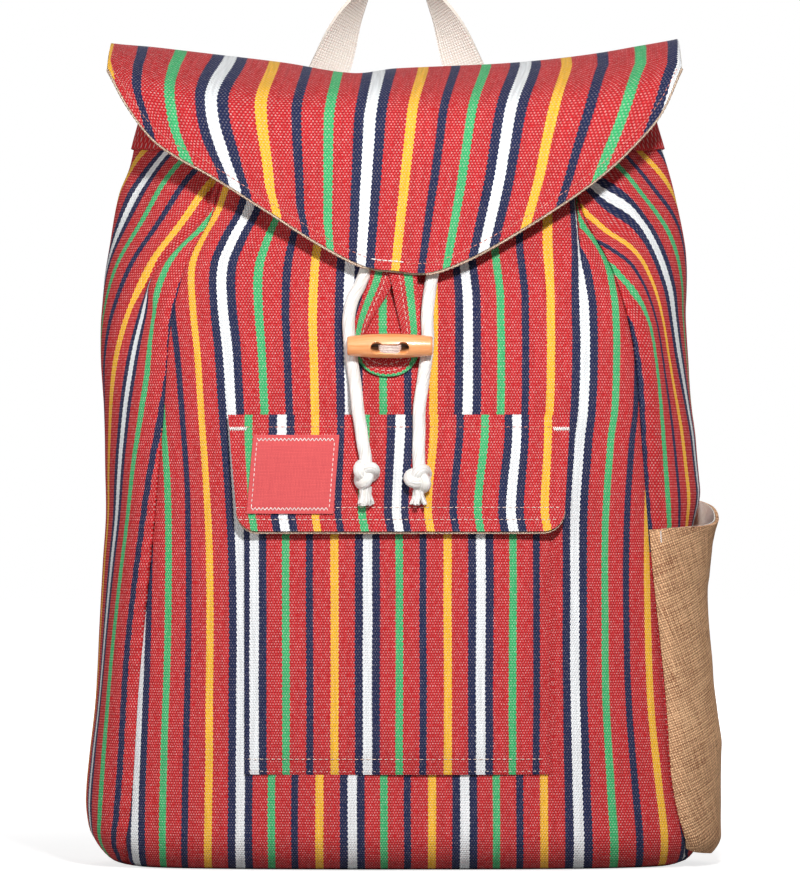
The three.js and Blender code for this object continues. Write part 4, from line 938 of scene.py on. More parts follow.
# How far the ridge stands up beyond its even curve, across the flap, and over which share of the profile
RIDGE_RISE = [[-1, -0.84, -0.63, -0.4, -0.15, 0, 0.43, 0.7, 0.84, 1],
              [2.4, 5.6, 6.4, 4.6, -0.4, 2.4, 4.6, 5.8, 6, 4.5]]
RIDGE_REACH = 0.1
# How far the stripes lie to the left of their even fan, across the flap: on the ridge, and bowed below it
RIDGE_DRIFT = [[-1, -0.88, -0.74, -0.6, 0, 0.3, 0.42, 0.6, 0.7, 0.82, 0.92, 1],
               [4.3, 3.2, -0.3, -3.6, -3.5, -3, -2.1, -0.1, -1.2, -4.8, -8, -8.5]]
FRONT_DRIFT = [[-1, -0.88, -0.74, -0.6, -0.46, -0.2, 0.1, 0.4, 0.55, 0.65, 0.78, 0.9, 1],
               [7.5, 7.5, 6.8, 7, 3.3, 0, 0, 2.2, 1.8, 0, -3, -6, -6]]
FLAP_BEND = (-2, 27)  # heights below the ridge between which one passes into the other
# Share of that bow which is gone lower down; heights below the ridge and ways out between which it goes
BOW_LOST, BOW_DROP, BOW_OUT = 0.75, (30, 65), (0.62, 0.76)
HEM_DRAG, HEM_DRAG_OUT, HEM_DRAG_REACH = 3, (0.1, 0.35), 14  # of the left part's stripes to the middle
FLAP_FACE = LINING + LAY + CANVAS
FLAP_REPEAT = 77.3  # of its stripes at the ridge, from which they draw together downwards
FLAP_FAN = 0.00216
FLAP_FAN_TOP = 407.7
FLAP_FAN_X = -39
FLAP_WHITE_X = -89.5
FLAP_POINTS = 401
FLAP_WAVY = (0.3, 0.9)  # shares of its length between which its waves grow
LINING_SHOW = 0.003  # share of the flap's length by which the lining shows below it
EDGE_HALF, EDGE_POINTS = 0.998, 700  # of the lining's edge across the flap
EDGE_LIFT = 0.62  # share of the flap's thickness where it lies
LOOP_TUCK, TUCK_OUT = 0.4, (0.07, 0.12)  # share by which it dips behind the loop, and the ways out there
TUCK_UP = 0.008  # share of the flap's length by which it is drawn up there
EDGE_TWIST = 5.2  # length in which the strands of the lining's edge go once round
EDGE_RADIUS, POCKET_EDGE_RADIUS = 1.0, 0.75
EDGE_ROUND, EDGE_STRANDS = 0.85, 0.15  # shares of the radius: their middle, and how far they stand out

casing_top = CHANNEL_Z + CHANNEL_RADIUS + CANVAS
rear = [off_back(0, FLAP_SEAM_HEIGHT, FLAP_EASE),
        off_back(0, BODY_HEIGHT - CASING_DROP, CANVAS + SEAM_GAP + FLAP_EASE),
        off_back(0, CHANNEL_Z, CHANNEL_RADIUS + CANVAS + FLAP_EASE)]
reach, drop = np.transpose(FLAP_LINE)
hanging = stacked(0, -FLAP_OVERHANG * reach, mix(FLAP_RIDGE_HEIGHT, FLAP_TIP_HEIGHT, drop))
flap_profile = smooth_line([*rear, *hanging], FLAP_POINTS)
profile_share = np.linspace(0, 1, FLAP_POINTS)
ridge_step = int(np.argmax(flap_profile[:, 2]))
ridge_share = profile_share[ridge_step]
profile_length = arc_along(flap_profile)[-1]


def flap_reach(u, v):
    """Share of the profile that lies v of the way down the flap: less the further out u is."""
    left, right = (through(EDGE_STATIONS, drops, np.abs(u)) for drops in (LEFT_EDGE, RIGHT_EDGE))
    edge_height = mix(FLAP_RIDGE_HEIGHT, FLAP_TIP_HEIGHT, np.where(u < 0, left, right))
    falling = flap_profile[ridge_step:, 2][::-1]
    return np.clip(v, 0, 1) * np.interp(edge_height, falling, profile_share[ridge_step:][::-1])


def flap_place(u, v):
    """Point of the bare flap on its profile; the rear follows the back's curve, the sides of the front part
    stand back and the horns rise."""
    side, reach = np.abs(u), flap_reach(u, v)
    y, z = (np.interp(reach, profile_share, flap_profile[:, i]) for i in (1, 2))
    out = smooth(0, ridge_share, reach)
    x = u * mix(FLAP_SEAM_HALF_WIDTH, FLAP_HALF_WIDTH, out)
    x = x - RIGHT_HORN_INSET * out * smooth(HORN_START, 1, u)
    _, half, _, back, *_ = body_section(run_at(np.minimum(z, casing_top)))
    rear_curve = back * (1 - bulge(u * FLAP_SEAM_HALF_WIDTH / half, BACK_SQUARENESS))
    behind = 1 - smooth(ridge_share * FLAP_REAR_TURN, ridge_share, reach)
    y = y + FLAP_SET_BACK * side ** 2 * smooth(ridge_share, 1, reach) - rear_curve * behind
    z = z + HORN_RISE * side ** 3 * smooth(FLAP_SEAM_HEIGHT, FLAP_RIDGE_HEIGHT, z)
    z = z + through(*RIDGE_RISE, u) * np.exp(-((reach - ridge_share) / RIDGE_REACH) ** 2)
    return stacked(x, y, z)


def on_flap(u, v, lift):
    """Point that stands lift off the bare flap, along its normal, which from u to v points inwards."""
    return raised(flap_place, u, v, -np.asarray(lift))


def flap_waves(u, v):
    """Slight uneven waves of the flap's cloth, stronger towards its hanging edge."""
    return waves("flap", FLAP_HALF_WIDTH * u, v) * smooth(*FLAP_WAVY, v)


def flap_cloth(u, v):
    """Place in the flap's cloth: its stripes run the other way round, and draw together below the ridge."""
    height, reach = flap_place(u, v)[..., 2], flap_reach(u, v)
    in_front = reach > ridge_share
    drop = np.maximum(0, FLAP_FAN_TOP - height) * in_front
    x = (u * FLAP_HALF_WIDTH - FLAP_FAN_X) / (1 - FLAP_FAN * drop) + FLAP_FAN_X
    ridge = FLAP_RIDGE_HEIGHT + HORN_RISE * np.abs(u) ** 3 + through(*RIDGE_RISE, u)
    below = (ridge - height) * in_front
    straightened = BOW_LOST * smooth(*BOW_DROP, below) * (1 - smooth(*BOW_OUT, np.abs(u)))
    bow = through(*FRONT_DRIFT, u) * (1 - straightened)
    x = x + mix(through(*RIDGE_DRIFT, u), bow, smooth(*FLAP_BEND, below))
    from_hem = (1 - v) * flap_reach(u, 1) * profile_length
    x = x - HEM_DRAG * smooth(*HEM_DRAG_OUT, -u) * (1 - smooth(0, HEM_DRAG_REACH, from_hem))
    return stacked(-(x - FLAP_WHITE_X) * REPEAT / FLAP_REPEAT, reach * profile_length)


def flap_ply(name, columns, rows, shorter, foot, face, material, node):
    """One ply of the flap between two heights off it, drawn in at its hem by a share of its length."""
    u, v = np.meshgrid(np.linspace(-1, 1, columns), np.linspace(0, 1, rows))
    lift, cloth = flap_waves(u, v), flap_cloth(u, v)
    v = v * (1 - shorter)
    return add_ply(name, on_flap(u, v, face + lift), on_flap(u, v, foot + lift), material, node, cloth)


def edge_swell(turn, arc):
    return EDGE_ROUND + EDGE_STRANDS * np.cos(2 * (turn - TAU * arc / EDGE_TWIST))


def edge_cord(name, row, radius):
    """Twisted edge of the lining that shows along a hem: a thin cord of two strands along its row."""
    line, up = row
    rings, cloth = tube(line, radius, 10, up, edge_swell)
    return add_piece(name, sweep(rings), edge_cotton, (), cloth, 80)


flap_lining = flap_ply("flap_lining_cotton", 111, 61, 0, 0, LINING, lining_cotton, "flap_lining")
flap = flap_ply("flap_canvas", 221, 121, LINING_SHOW, LINING + LAY, FLAP_FACE, canvas, "flap_outer")
u = np.linspace(-EDGE_HALF, EDGE_HALF, EDGE_POINTS)
tucked = 1 - smooth(*TUCK_OUT, np.abs(u))
v = 1 - TUCK_UP * tucked
edge = row_on(on_flap, u, v, FLAP_FACE * (EDGE_LIFT - LOOP_TUCK * tucked) + flap_waves(u, v))
flap_edge = edge_cord("flap_edge_cord", edge, EDGE_RADIUS)

# Front patch pocket, sewn flat on the front panel

POCKET_HALF_WIDTH = 77
POCKET_BOTTOM, POCKET_TOP = 49.5, 222
POCKET_WHITE_X = -15
POCKET_FULLNESS = 1.6
POCKET_RISE, POCKET_WAVY = 14, 12  # ways in from its seams over which it grows full and wavy
POCKET_UNDER = 0.4  # share of that rise which its underside follows
POCKET_PINCH, POCKET_PINCH_REACH = 0.7, 1.2

x, z = np.meshgrid(np.linspace(-POCKET_HALF_WIDTH, POCKET_HALF_WIDTH, 120),
                   np.linspace(POCKET_BOTTOM, POCKET_TOP, 130))
from_edge = np.minimum(POCKET_HALF_WIDTH - np.abs(x), z - POCKET_BOTTOM)
rise = POCKET_FULLNESS * smooth(0, POCKET_RISE, from_edge)
rise = rise + waves("pocket", x, z) * smooth(0, POCKET_WAVY, from_edge)
rise = rise - POCKET_PINCH * np.exp(-from_edge / POCKET_PINCH_REACH)
add_ply("pocket_canvas", on_front(x, z, LAY + CANVAS + rise), on_front(x, z, LAY + rise * POCKET_UNDER),
        canvas, "front_pocket", stacked(x - POCKET_WHITE_X, z))

# Pocket flap of two plies, with round lower corners and a lower edge that stands off a little

POCKET_FLAP_HALF = 86.5
POCKET_FLAP_BOTTOM, POCKET_FLAP_TOP = 171.8, 231
POCKET_FLAP_CORNER = 11
POCKET_FLAP_TAPER = 3.6
POCKET_FLAP_LEFT_INSET = (3.3, 2.1)  # of its left edge, at the lower edge and at the seam
POCKET_FLAP_FLARE = 3.2
POCKET_FLAP_RISE, POCKET_FLAP_WAVY = 0.4, 0.6  # shares of its drop over which it grows full and wavy
POCKET_FLAP_REPEAT = 59.8
POCKET_FLAP_WHITE_X = 0.7
# How far its stripes lie to the right of their even places, by x: at the seam, and above the hem
SEAM_DRIFT = [[-86, -78, -60, -42, -15, 0, 18, 44, 62, 79, 86],
              [2.2, 2.1, 1.6, 0.7, 0.6, 1, 0.5, 0.4, -0.6, -2.6, -2.8]]
LOWER_DRIFT = [[-86, -78, -60, -42, -29, -15, -4, 18, 32, 62, 79, 86],
               [4.4, 4.1, 2.3, 0.7, -0.9, -1.4, -0.6, -2.6, -3, -3.6, -4.1, -4.2]]
DRIFT_HEIGHTS = (182, 226)  # between which one passes into the other
POCKET_HEM_DRAG, POCKET_HEM_HEIGHTS = 1.4, (171, 182)  # by which the hem drags them on, and where
POCKET_FLAP_UNDER = LAY + CANVAS + LAY
POCKET_FLAP_MID = POCKET_FLAP_UNDER + LINING
POCKET_FLAP_FACE = POCKET_FLAP_MID + SEAM_GAP + CANVAS
POCKET_LINING_SHOW = 0.012  # share of the flap's height by which the lining shows below it


def over_pocket(x, z, lift):
    """Point that stands lift off the front, plus the flap's flare that grows with the square of its drop."""
    down = (POCKET_FLAP_TOP - z) / (POCKET_FLAP_TOP - POCKET_FLAP_BOTTOM)
    stand = POCKET_FLAP_FLARE * down ** 2 + POCKET_FULLNESS * smooth(0, POCKET_FLAP_RISE, down)
    return on_front(x, z, lift + stand + waves("pocket_flap", x, z) * smooth(0, POCKET_FLAP_WAVY, down))


def on_pocket_flap(u, v, lift):
    """Point of the pocket flap from its lower edge at v 0 to its seam at v 1, with quarter-round corners."""
    past = np.maximum(0, np.abs(u) * POCKET_FLAP_HALF - (POCKET_FLAP_HALF - POCKET_FLAP_CORNER))
    corner = POCKET_FLAP_CORNER - np.sqrt(np.maximum(0, POCKET_FLAP_CORNER ** 2 - past ** 2))
    z = mix(POCKET_FLAP_BOTTOM + corner, POCKET_FLAP_TOP, v)
    inset = np.maximum(0, -u) * mix(*POCKET_FLAP_LEFT_INSET, v)
    return over_pocket(u * (POCKET_FLAP_HALF - POCKET_FLAP_TAPER * (1 - v)) + inset, z, lift)


def pocket_flap_cloth(x, z):
    """Place in the pocket flap's cloth, whose stripes run the other way round and sway down the flap."""
    drift = mix(through(*SEAM_DRIFT, x), through(*LOWER_DRIFT, x), 1 - smooth(*DRIFT_HEIGHTS, z))
    drift = drift + POCKET_HEM_DRAG * (1 - smooth(*POCKET_HEM_HEIGHTS, z))
    return stacked((POCKET_FLAP_WHITE_X + drift - x) * REPEAT / POCKET_FLAP_REPEAT, z)


def pocket_flap_columns(count):
    """Places across the flap, even along its straight part and closer round its two corners."""
    straight = 1 - POCKET_FLAP_CORNER / POCKET_FLAP_HALF
    corner = mix(straight, 1, np.sin(np.linspace(0, np.pi / 2, 14)))
    return np.concatenate([-corner[::-1], np.linspace(-straight, straight, count)[1:-1], corner])


flap_columns = pocket_flap_columns(120)
u, v = np.meshgrid(flap_columns, np.linspace(0, 1, 44))
flat = on_pocket_flap(u, v, 0)
cloth = pocket_flap_cloth(flat[..., 0], flat[..., 2])
pocket_flap_lining = add_ply("pocket_flap_lining_cotton", on_pocket_flap(u, v, POCKET_FLAP_MID),
                             on_pocket_flap(u, v, POCKET_FLAP_UNDER), lining_cotton,
                             "pocket_flap_lining", cloth)
v = mix(POCKET_LINING_SHOW, 1, v)
pocket_flap = add_ply("pocket_flap_canvas", on_pocket_flap(u, v, POCKET_FLAP_FACE),
                      on_pocket_flap(u, v, POCKET_FLAP_MID + SEAM_GAP), canvas,
                      "pocket_flap", cloth)
edge = even_line(on_pocket_flap(pocket_flap_columns(400), 0, POCKET_FLAP_MID), 600)
edge_up = np.broadcast_to([0, -1.0, 0.02], edge.shape)
pocket_flap_edge = edge_cord("pocket_flap_edge_cord", (edge, edge_up), POCKET_EDGE_RADIUS)

# Label patch, bare

LABEL_X, LABEL_Z = -51.7, 201
LABEL_WIDTH, LABEL_HEIGHT, LABEL_LEAN = 42.6, 39.4, 1.5
LABEL_CLOTH = 0.8
LABEL_FOOT, LABEL_FACE = POCKET_FLAP_FACE + LAY, POCKET_FLAP_FACE + LAY + LABEL_CLOTH
LABEL_PUFF, LABEL_MARGIN = 0.5, (2, 7)  # fullness of its middle, and the ways in from its edge where it grows


def on_label(p, q, lift):
    """Point of the label, p and q from -1 to 1 across and up; it leans a little to the right."""
    return over_pocket(LABEL_X + p * LABEL_WIDTH / 2 + q * LABEL_LEAN, LABEL_Z + q * LABEL_HEIGHT / 2, lift)


p, q = np.meshgrid(np.linspace(-1, 1, 40), np.linspace(-1, 1, 36))
near = np.minimum(1 - np.abs(p), 1 - np.abs(q)) * LABEL_WIDTH / 2
add_ply("label_cloth", on_label(p, q, LABEL_FACE + LABEL_PUFF * smooth(*LABEL_MARGIN, near)),
        on_label(p, q, LABEL_FOOT), badge_cloth, "label_patch",
        stacked(p * LABEL_WIDTH / 2, q * LABEL_HEIGHT / 2))

# Toggle: a turned barrel with two holes and a slot between them

TOGGLE_X, TOGGLE_Z = -3.6, 264.6
TOGGLE_STAND = 12.09
TOGGLE_LENGTH = 43
TOGGLE_DIAMETER, TOGGLE_END_DIAMETER = 12.4, 9.6
TOGGLE_ROLL = np.radians(20)  # of its holes down from the front panel's normal
HOLE_DIAMETER, HOLE_SPACING = 6.0, 13.2
HOLE_DEPTH, HOLE_EDGE = 5.3, (-0.35, 0.2)  # its rim is rounded from inside to outside its radius
SLOT_WIDTH, SLOT_DEPTH, SLOT_DROP = 4.6, 2.3, 0.5
SLOT_EDGE = (-0.3, 0.4)
END_ROUND = 0.9

toggle_middle, off_panel = row_on(on_front, TOGGLE_X, TOGGLE_Z, TOGGLE_STAND)
toggle_along = np.array([1.0, 0, 0])
toggle_ahead = off_panel * np.cos(TOGGLE_ROLL) + np.cross(toggle_along, off_panel) * np.sin(TOGGLE_ROLL)
toggle_up = np.cross(toggle_along, -toggle_ahead)


def toggle_point(along, across, ahead):
    """Point in the frame by the toggle's own axes."""
    along, across, ahead = (np.asarray(part)[..., None] for part in (along, across, ahead))
    return toggle_middle + along * toggle_along + across * toggle_up + ahead * toggle_ahead


turn, along = np.meshgrid(np.linspace(0, TAU, 140, endpoint=False),
                          np.linspace(-1, 1, 200) * TOGGLE_LENGTH / 2)
out = np.abs(along)
radius = mix(TOGGLE_END_DIAMETER, TOGGLE_DIAMETER, 1 - (out / (TOGGLE_LENGTH / 2)) ** 2) / 2
past = np.maximum(0, (out - TOGGLE_LENGTH / 2 + END_ROUND) / END_ROUND)
radius = radius - END_ROUND * (1 - bulge(past, 2))
beside = radius * np.sin(turn)
from_hole = np.hypot(out - HOLE_SPACING / 2, beside) - HOLE_DIAMETER / 2
in_hole = 1 - smooth(*HOLE_EDGE, from_hole)
in_slot = smooth(*SLOT_EDGE, SLOT_WIDTH / 2 - np.abs(beside + SLOT_DROP)) * (out < HOLE_SPACING / 2)
sink = np.maximum(HOLE_DEPTH * in_hole, SLOT_DEPTH * in_slot * (np.cos(turn) > 0))
radius = radius - sink
rings = toggle_point(along, radius * np.sin(turn), radius * np.cos(turn))
# the depth of the holes and the slot goes to the wood's material, which paints shade into them by it
add_piece("toggle_barrel", sweep(rings), wood, ["toggle"], stacked(sink, along), 35)

# Thread that ties the toggle: four strands down through its holes, lying in the slot between them

THREAD_DIAMETER = 1.15
THREAD_ROWS = [-2.2, -1.2, -0.2, 0.7]
LEG_INSET = 1.5  # by which the strands keep to the inner side of each hole
THREAD_BEND = 3.8  # way from the middle where a strand lies flat in the slot
THREAD_BOW, THREAD_SWAY, THREAD_STEP = 0.15, 0.15, 0.12  # in its middle, sideways, and of every second one
LEG_FOOT, LEG_LOW, LEG_TURN = 1.0, 4.5, 1.6  # off the panel, below the middle and below the slot's thread
thread_face = TOGGLE_DIAMETER / 2 - SLOT_DEPTH + THREAD_DIAMETER / 2
legs = np.array([LEG_FOOT - TOGGLE_STAND, -LEG_LOW, 0, thread_face - LEG_TURN])
leg_place = HOLE_SPACING / 2 - LEG_INSET
thread_along = np.concatenate([0 * legs - leg_place, [-THREAD_BEND, 0, THREAD_BEND], 0 * legs + leg_place])
thread_ahead = np.concatenate([legs, [thread_face, thread_face + THREAD_BOW, thread_face], legs[::-1]])
skins, cloths = [], []
for row, beside in enumerate(THREAD_ROWS):
    spread = beside + THREAD_SWAY * np.sin(1.3 * thread_along + 2 * row)
    line = smooth_line(toggle_point(thread_along, spread, thread_ahead + THREAD_STEP * (row % 2)), 70)
    rings, cloth = tube(line, THREAD_DIAMETER / 2, 10, toggle_up)
    skins.append(sweep(rings))
    cloths.append(cloth.reshape(-1, 2))
add_piece("toggle_tie", joined(skins), tie_thread, ["toggle_thread"], np.concatenate(cloths), 80)

# Toggle loop: a strip of canvas sewn under the flap's tip, crossed over itself above a teardrop eye

LOOP_OUTSIDE = [[-12.5, 314], [-12.8, 304], [-14.6, 297], [-18.4, 288], [-21.4, 278], [-22.3, 268],
                [-20, 259], [-13.5, 252.5], [-4.7, 250.5], [4, 252.5], [10, 259], [11.8, 268],
                [11.6, 280], [10.6, 292], [10, 304], [9.8, 314]]
LOOP_INSIDE = [[0.5, 314], [-0.5, 304], [-3, 295.5], [-8, 287], [-13.2, 278.5], [-16.5, 270], [-15, 264],
               [-10.5, 260.6], [-5.5, 259.8], [-1.6, 261], [1, 264.5], [2.3, 271], [1, 279], [-0.8, 287],
               [-2.5, 295.5], [-4.5, 304], [-5.5, 314]]
LOOP_THICKNESS, LOOP_ROUNDING = 2.2, 0.5
LOOP_LIFT = 4.8  # of its foot, under the flap's tip
LOOP_SHOULDER = 284
LOOP_CROSSING, LOOP_CROSSES = 2.4, (0.62, 0.8)  # rise of its second end over the first, and where along it
LOOP_CLOTH_START, LOOP_WIDTH = GREEN_AT - 3.6, 12
LOOP_BEND_START, LOOP_BEND_WIDTH = GREEN_AT + 1.0, 8.4  # at the bottom bend, where the outer edge turns under
LOOP_BEND = (252, 267)  # heights between which it does
LOOP_POINTS, LOOP_COLUMNS = 150, 20

edges = (np.insert(np.array(edge, float), 1, 0, axis=1) for edge in (LOOP_OUTSIDE, LOOP_INSIDE))
outside, inside = (smooth_line(edge, LOOP_POINTS) for edge in edges)
across = np.linspace(0, 1, LOOP_COLUMNS)[None, :]
strip = outside[:, None] + (inside - outside)[:, None] * across[..., None]
x, z = strip[..., 0], strip[..., 2]
over = LOOP_CROSSING * smooth(*LOOP_CROSSES, np.linspace(0, 1, LOOP_POINTS)[:, None])
foot = mix(LAY, LOOP_LIFT, smooth(LOOP_SHOULDER, FLAP_TIP_HEIGHT, z)) + over
face = foot + LOOP_THICKNESS - LOOP_ROUNDING * (1 - np.sin(np.pi * across) ** 0.5)
at_bend = (1 - smooth(*LOOP_BEND, outside[:, 2]))[:, None]
cloth_start = mix(LOOP_CLOTH_START, LOOP_BEND_START, at_bend)
cloth_across = cloth_start + across * mix(LOOP_WIDTH, LOOP_BEND_WIDTH, at_bend)
add_ply("toggle_loop_canvas", on_front(x, z, face), on_front(x, z, foot), canvas, "toggle_loop",
        stacked(cloth_across, arc_along(outside)[:, None]))


def loop_row(share, first, last):
    """Row along the loop's strip at a share of its width, over some of its length."""
    some = slice(int(first * (LOOP_POINTS - 1)), int(last * (LOOP_POINTS - 1)) + 1)
    flat = mix(outside, inside, share)[some]
    height = foot[some, LOOP_COLUMNS // 2] + LOOP_THICKNESS + ON_CLOTH
    return row_on(on_front, flat[:, 0], flat[:, 2], height)


def add_stitches(name, thread, *skins):
    return add_piece(name, joined(skins), thread)


add_stitches("loop_stitching", pale_thread, running_stitches(loop_row(0.64, 0.04, 0.98)),
             running_stitches(loop_row(0.3, 0.36, 0.64)))

# Side pocket: burlap over a white lining, taking in the right side from seam to seam

SIDE_POCKET_FRONT_TOP, SIDE_POCKET_BACK_TOP = 173, 191.5
MOUTH_BOW = 1.25  # above 1 its mouth sags between the seams
# How far the pocket stands off the side, by the way up the wall, in the middle between its seams
SIDE_POCKET_SWELL = [[18, 26, 31, 44, 56, 68, 74, 80, 87, 93, 105, 117, 129, 142, 154, 160, 172, 180, 200],
                     [5, 7.6, 7, 7.4, 7.8, 8.4, 8.8, 8.2, 7.4, 6.9, 6, 6, 5.6, 5.4, 5.7, 6.7, 7.8, 8, 9]]
SIDE_POCKET_WIDTH = 110
SIDE_POCKET_FULLNESS = 0.7
SIDE_POCKET_U, SIDE_POCKET_FOOT = (-0.004, 1.004), -0.34  # it reaches past its seams and into the base edge
BURLAP, POCKET_LINING = 1.3, 0.6
BURLAP_FOOT = LAY + POCKET_LINING
BURLAP_HEM, HEM_V = 0.4, (0.9, 0.94)  # how much thicker it is at its mouth, and where that begins
BURLAP_SEAM = (0.1, 0.6)  # heights of its two faces at its seams
BURLAP_SLANT = np.radians(18)  # of its threads
SEAM_TAPER = 0.045  # share of the width over which it lies down to its seams
TACK_U = 0.03  # place of the bar tack at its mouth


def side_pocket_run(u, v):
    """Way up the wall: v counts up from the top of the rounded base edge to the slanted mouth."""
    mouth = run_at(mix(SIDE_POCKET_FRONT_TOP, SIDE_POCKET_BACK_TOP, np.clip(u, 0, 1) ** MOUTH_BOW))
    return np.where(v < 0, CORNER_RUN * (1 + v), mix(CORNER_RUN, mouth, np.maximum(v, 0)))


def on_side_pocket(u, v, lift):
    """Point off the right side, from which the pocket swells out between its seams and gapes at its mouth."""
    run = side_pocket_run(u, v)
    swell = through(*SIDE_POCKET_SWELL, run) + waves("side_pocket", SIDE_POCKET_WIDTH * u, run)
    return on_wall("right", u, run, lift + swell * np.sin(np.pi * np.clip(u, 0, 1)) ** SIDE_POCKET_FULLNESS)


u, v = np.meshgrid(np.linspace(*SIDE_POCKET_U, 90),
                   np.concatenate([np.linspace(SIDE_POCKET_FOOT, 0, 8)[:-1], np.linspace(0, 1, 100)]))
standing = smooth(0, SEAM_TAPER, np.minimum(u, 1 - u))
hem = BURLAP_HEM * smooth(*HEM_V, v)
outer = on_side_pocket(u, v, mix(BURLAP_SEAM[1], BURLAP_FOOT + BURLAP + hem, standing))
inner = on_side_pocket(u, v, mix(BURLAP_SEAM[0], BURLAP_FOOT, standing))
arc, run = arc_along(outer), side_pocket_run(u, v)
cloth = stacked(arc * np.cos(BURLAP_SLANT) + run * np.sin(BURLAP_SLANT),
                run * np.cos(BURLAP_SLANT) - arc * np.sin(BURLAP_SLANT))
add_ply("side_pocket_burlap", outer, inner, burlap, "side_pocket", cloth)
u = mix(SEAM_TAPER, 1 - SEAM_TAPER, u)
add_ply("side_pocket_lining_cotton", on_side_pocket(u, v, LAY / 2 + POCKET_LINING),
        on_side_pocket(u, v, LAY / 2), white_cotton, "side_pocket_lining", cloth)

# Webbing: the carrying handle and the shoulder straps

HANDLE_WIDTH = 21
HANDLE_SEAM_HALF_SPAN, HANDLE_RIDGE_HALF_SPAN = 48, 36
HANDLE_SEAT = np.array([0.015, 0.08, 0.14])  # shares of the flap's length where it lies on it
HANDLE_RISE = 6  # above the ridge where it has come free of the flap
HANDLE_SHOULDER, SHOULDER_SPAN = 0.55, 0.64  # share of its height where it turns in, and of its span there
HANDLE_TOP = 474
HANDLE_TURNS = (0.3, 0.96)  # shares of the way from an end to its middle over which it turns a quarter
HANDLE_POINTS = 130
STRAP_WIDTH = 38
STRAP_TOP_X, STRAP_BOTTOM_X = 52, 112
STRAP_TOP_Z, STRAP_BOTTOM_Z = 344, 32
STRAP_BOW = 62
STRAP_LEAVES, STRAP_RETURNS = (0.05, 0.5), (0.56, 0.94)  # shares of its length where its bow grows and goes
WEB_MIDDLE, WEB_SELVEDGE = 0.82, 0.28  # share of the webbing's thickness, and what a selvedge adds to it
SELVEDGE = (0.78, 0.9)  # shares of the half width where it rises
TO_REAR = np.array([0, 1.0, 0])


def band(name, line, across, width, node):
    """Webbing along a line: a flat section with round selvedges that are a little thicker than its middle."""
    ahead = unit(np.gradient(line, axis=0))
    side = unit(across - ahead * np.sum(across * ahead, axis=-1, keepdims=True))
    up = np.cross(ahead, side)
    place = np.linspace(-1, 1, 25)
    thickness = WEBBING * (WEB_MIDDLE + WEB_SELVEDGE * smooth(*SELVEDGE, np.abs(place)))
    half = thickness / 2 * bulge(place * 0.985, 8)
    flat = np.concatenate([place, place[::-1]]) * width / 2
    thick = np.concatenate([half, -half[::-1]])
    rings = line[:, None] + side[:, None] * flat[None, :, None] + up[:, None] * thick[None, :, None]
    cloth = stacked(flat, arc_along(line)[:, None])
    return add_piece(name, sweep(rings), webbing, [node], cloth, 70)


seat = on_flap(HANDLE_SEAM_HALF_SPAN / FLAP_SEAM_HALF_WIDTH, HANDLE_SEAT, FLAP_FACE + LAY + WEBBING / 2)
handle_y = seat[-1, 1]
shoulder_z = mix(FLAP_RIDGE_HEIGHT, HANDLE_TOP, HANDLE_SHOULDER)
rising = np.array([*seat, [HANDLE_RIDGE_HALF_SPAN, handle_y, FLAP_RIDGE_HEIGHT + HANDLE_RISE],
                   [HANDLE_RIDGE_HALF_SPAN * SHOULDER_SPAN, handle_y, shoulder_z]])
handle_top = [0, handle_y, HANDLE_TOP - WEBBING / 2]
handle_line = smooth_line([*(rising * [-1, 1, 1]), handle_top, *rising[::-1]], HANDLE_POINTS)
from_end = 1 - np.abs(2 * np.linspace(0, 1, HANDLE_POINTS) - 1)
quarter = np.pi / 2 * smooth(*HANDLE_TURNS, from_end)[:, None]
flat_side = np.cross(TO_REAR, unit(np.gradient(handle_line, axis=0)))
band("handle_webbing", handle_line, flat_side * np.cos(quarter) + TO_REAR * np.sin(quarter), HANDLE_WIDTH,
     "carry_handle")


def off_strap_line(side, share, shift, lift):
    """Point lift off the back, beside the straight way from a strap's upper seam to its lower one."""
    x = side * mix(STRAP_TOP_X, STRAP_BOTTOM_X, share) + shift
    return off_back(x, mix(STRAP_TOP_Z, STRAP_BOTTOM_Z, share), LAY + lift)


def strap_place(side, share, shift):
    """Point along a strap's middle: it leaves the back below its upper seam, bows out and comes back."""
    bow = STRAP_BOW * smooth(*STRAP_LEAVES, share) * (1 - smooth(*STRAP_RETURNS, share))
    return off_strap_line(side, share, shift, WEBBING / 2 + bow)


share = np.linspace(0, 1, 110)
for name, side in [("left", -1), ("right", 1)]:
    band(f"{name}_strap_webbing", strap_place(side, share, 0),
         strap_place(side, share, 1) - strap_place(side, share, -1), STRAP_WIDTH, f"{name}_shoulder_strap")

# The drawstring's run stays the CAD solid, inside the casing

run_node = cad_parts["drawstring_run"]
run_node.data.materials.clear()
run_node.data.materials.append(cotton)

# Stitching: rows by their heights and half lengths

POCKET_FLAP_ROWS = [(184.4, 80.5), (178.4, 79)]
POCKET_FLAP_SEAM_ROW = (224.8, 82)
BAR_TACKS = [(-83.5, -75), (78, 86)]  # from and to where they reach across the view
BAR_TACK_Z = 223.9
POCKET_ROWS = [(57.4, 1.3), (51.2, -0.3)]  # height, and how far the cloth is raised there
POCKET_ROW_HALF = 75.5
LABEL_ROWS = (-0.88, 0.88)  # share of its half height
LABEL_COLUMNS = (-0.9, 0.9)  # share of its half width
LABEL_SIDE = 0.86
HEM = 5.5
HEM_ENDS = (-0.985, 0.985)
LOOP_SEAM = (-0.088, 0.026)  # part of the hem where the loop is sewn on
FLAP_SEAM_ROW, FLAP_SEAM_HALF = 0.016, 0.97  # shares of the flap's length and half width
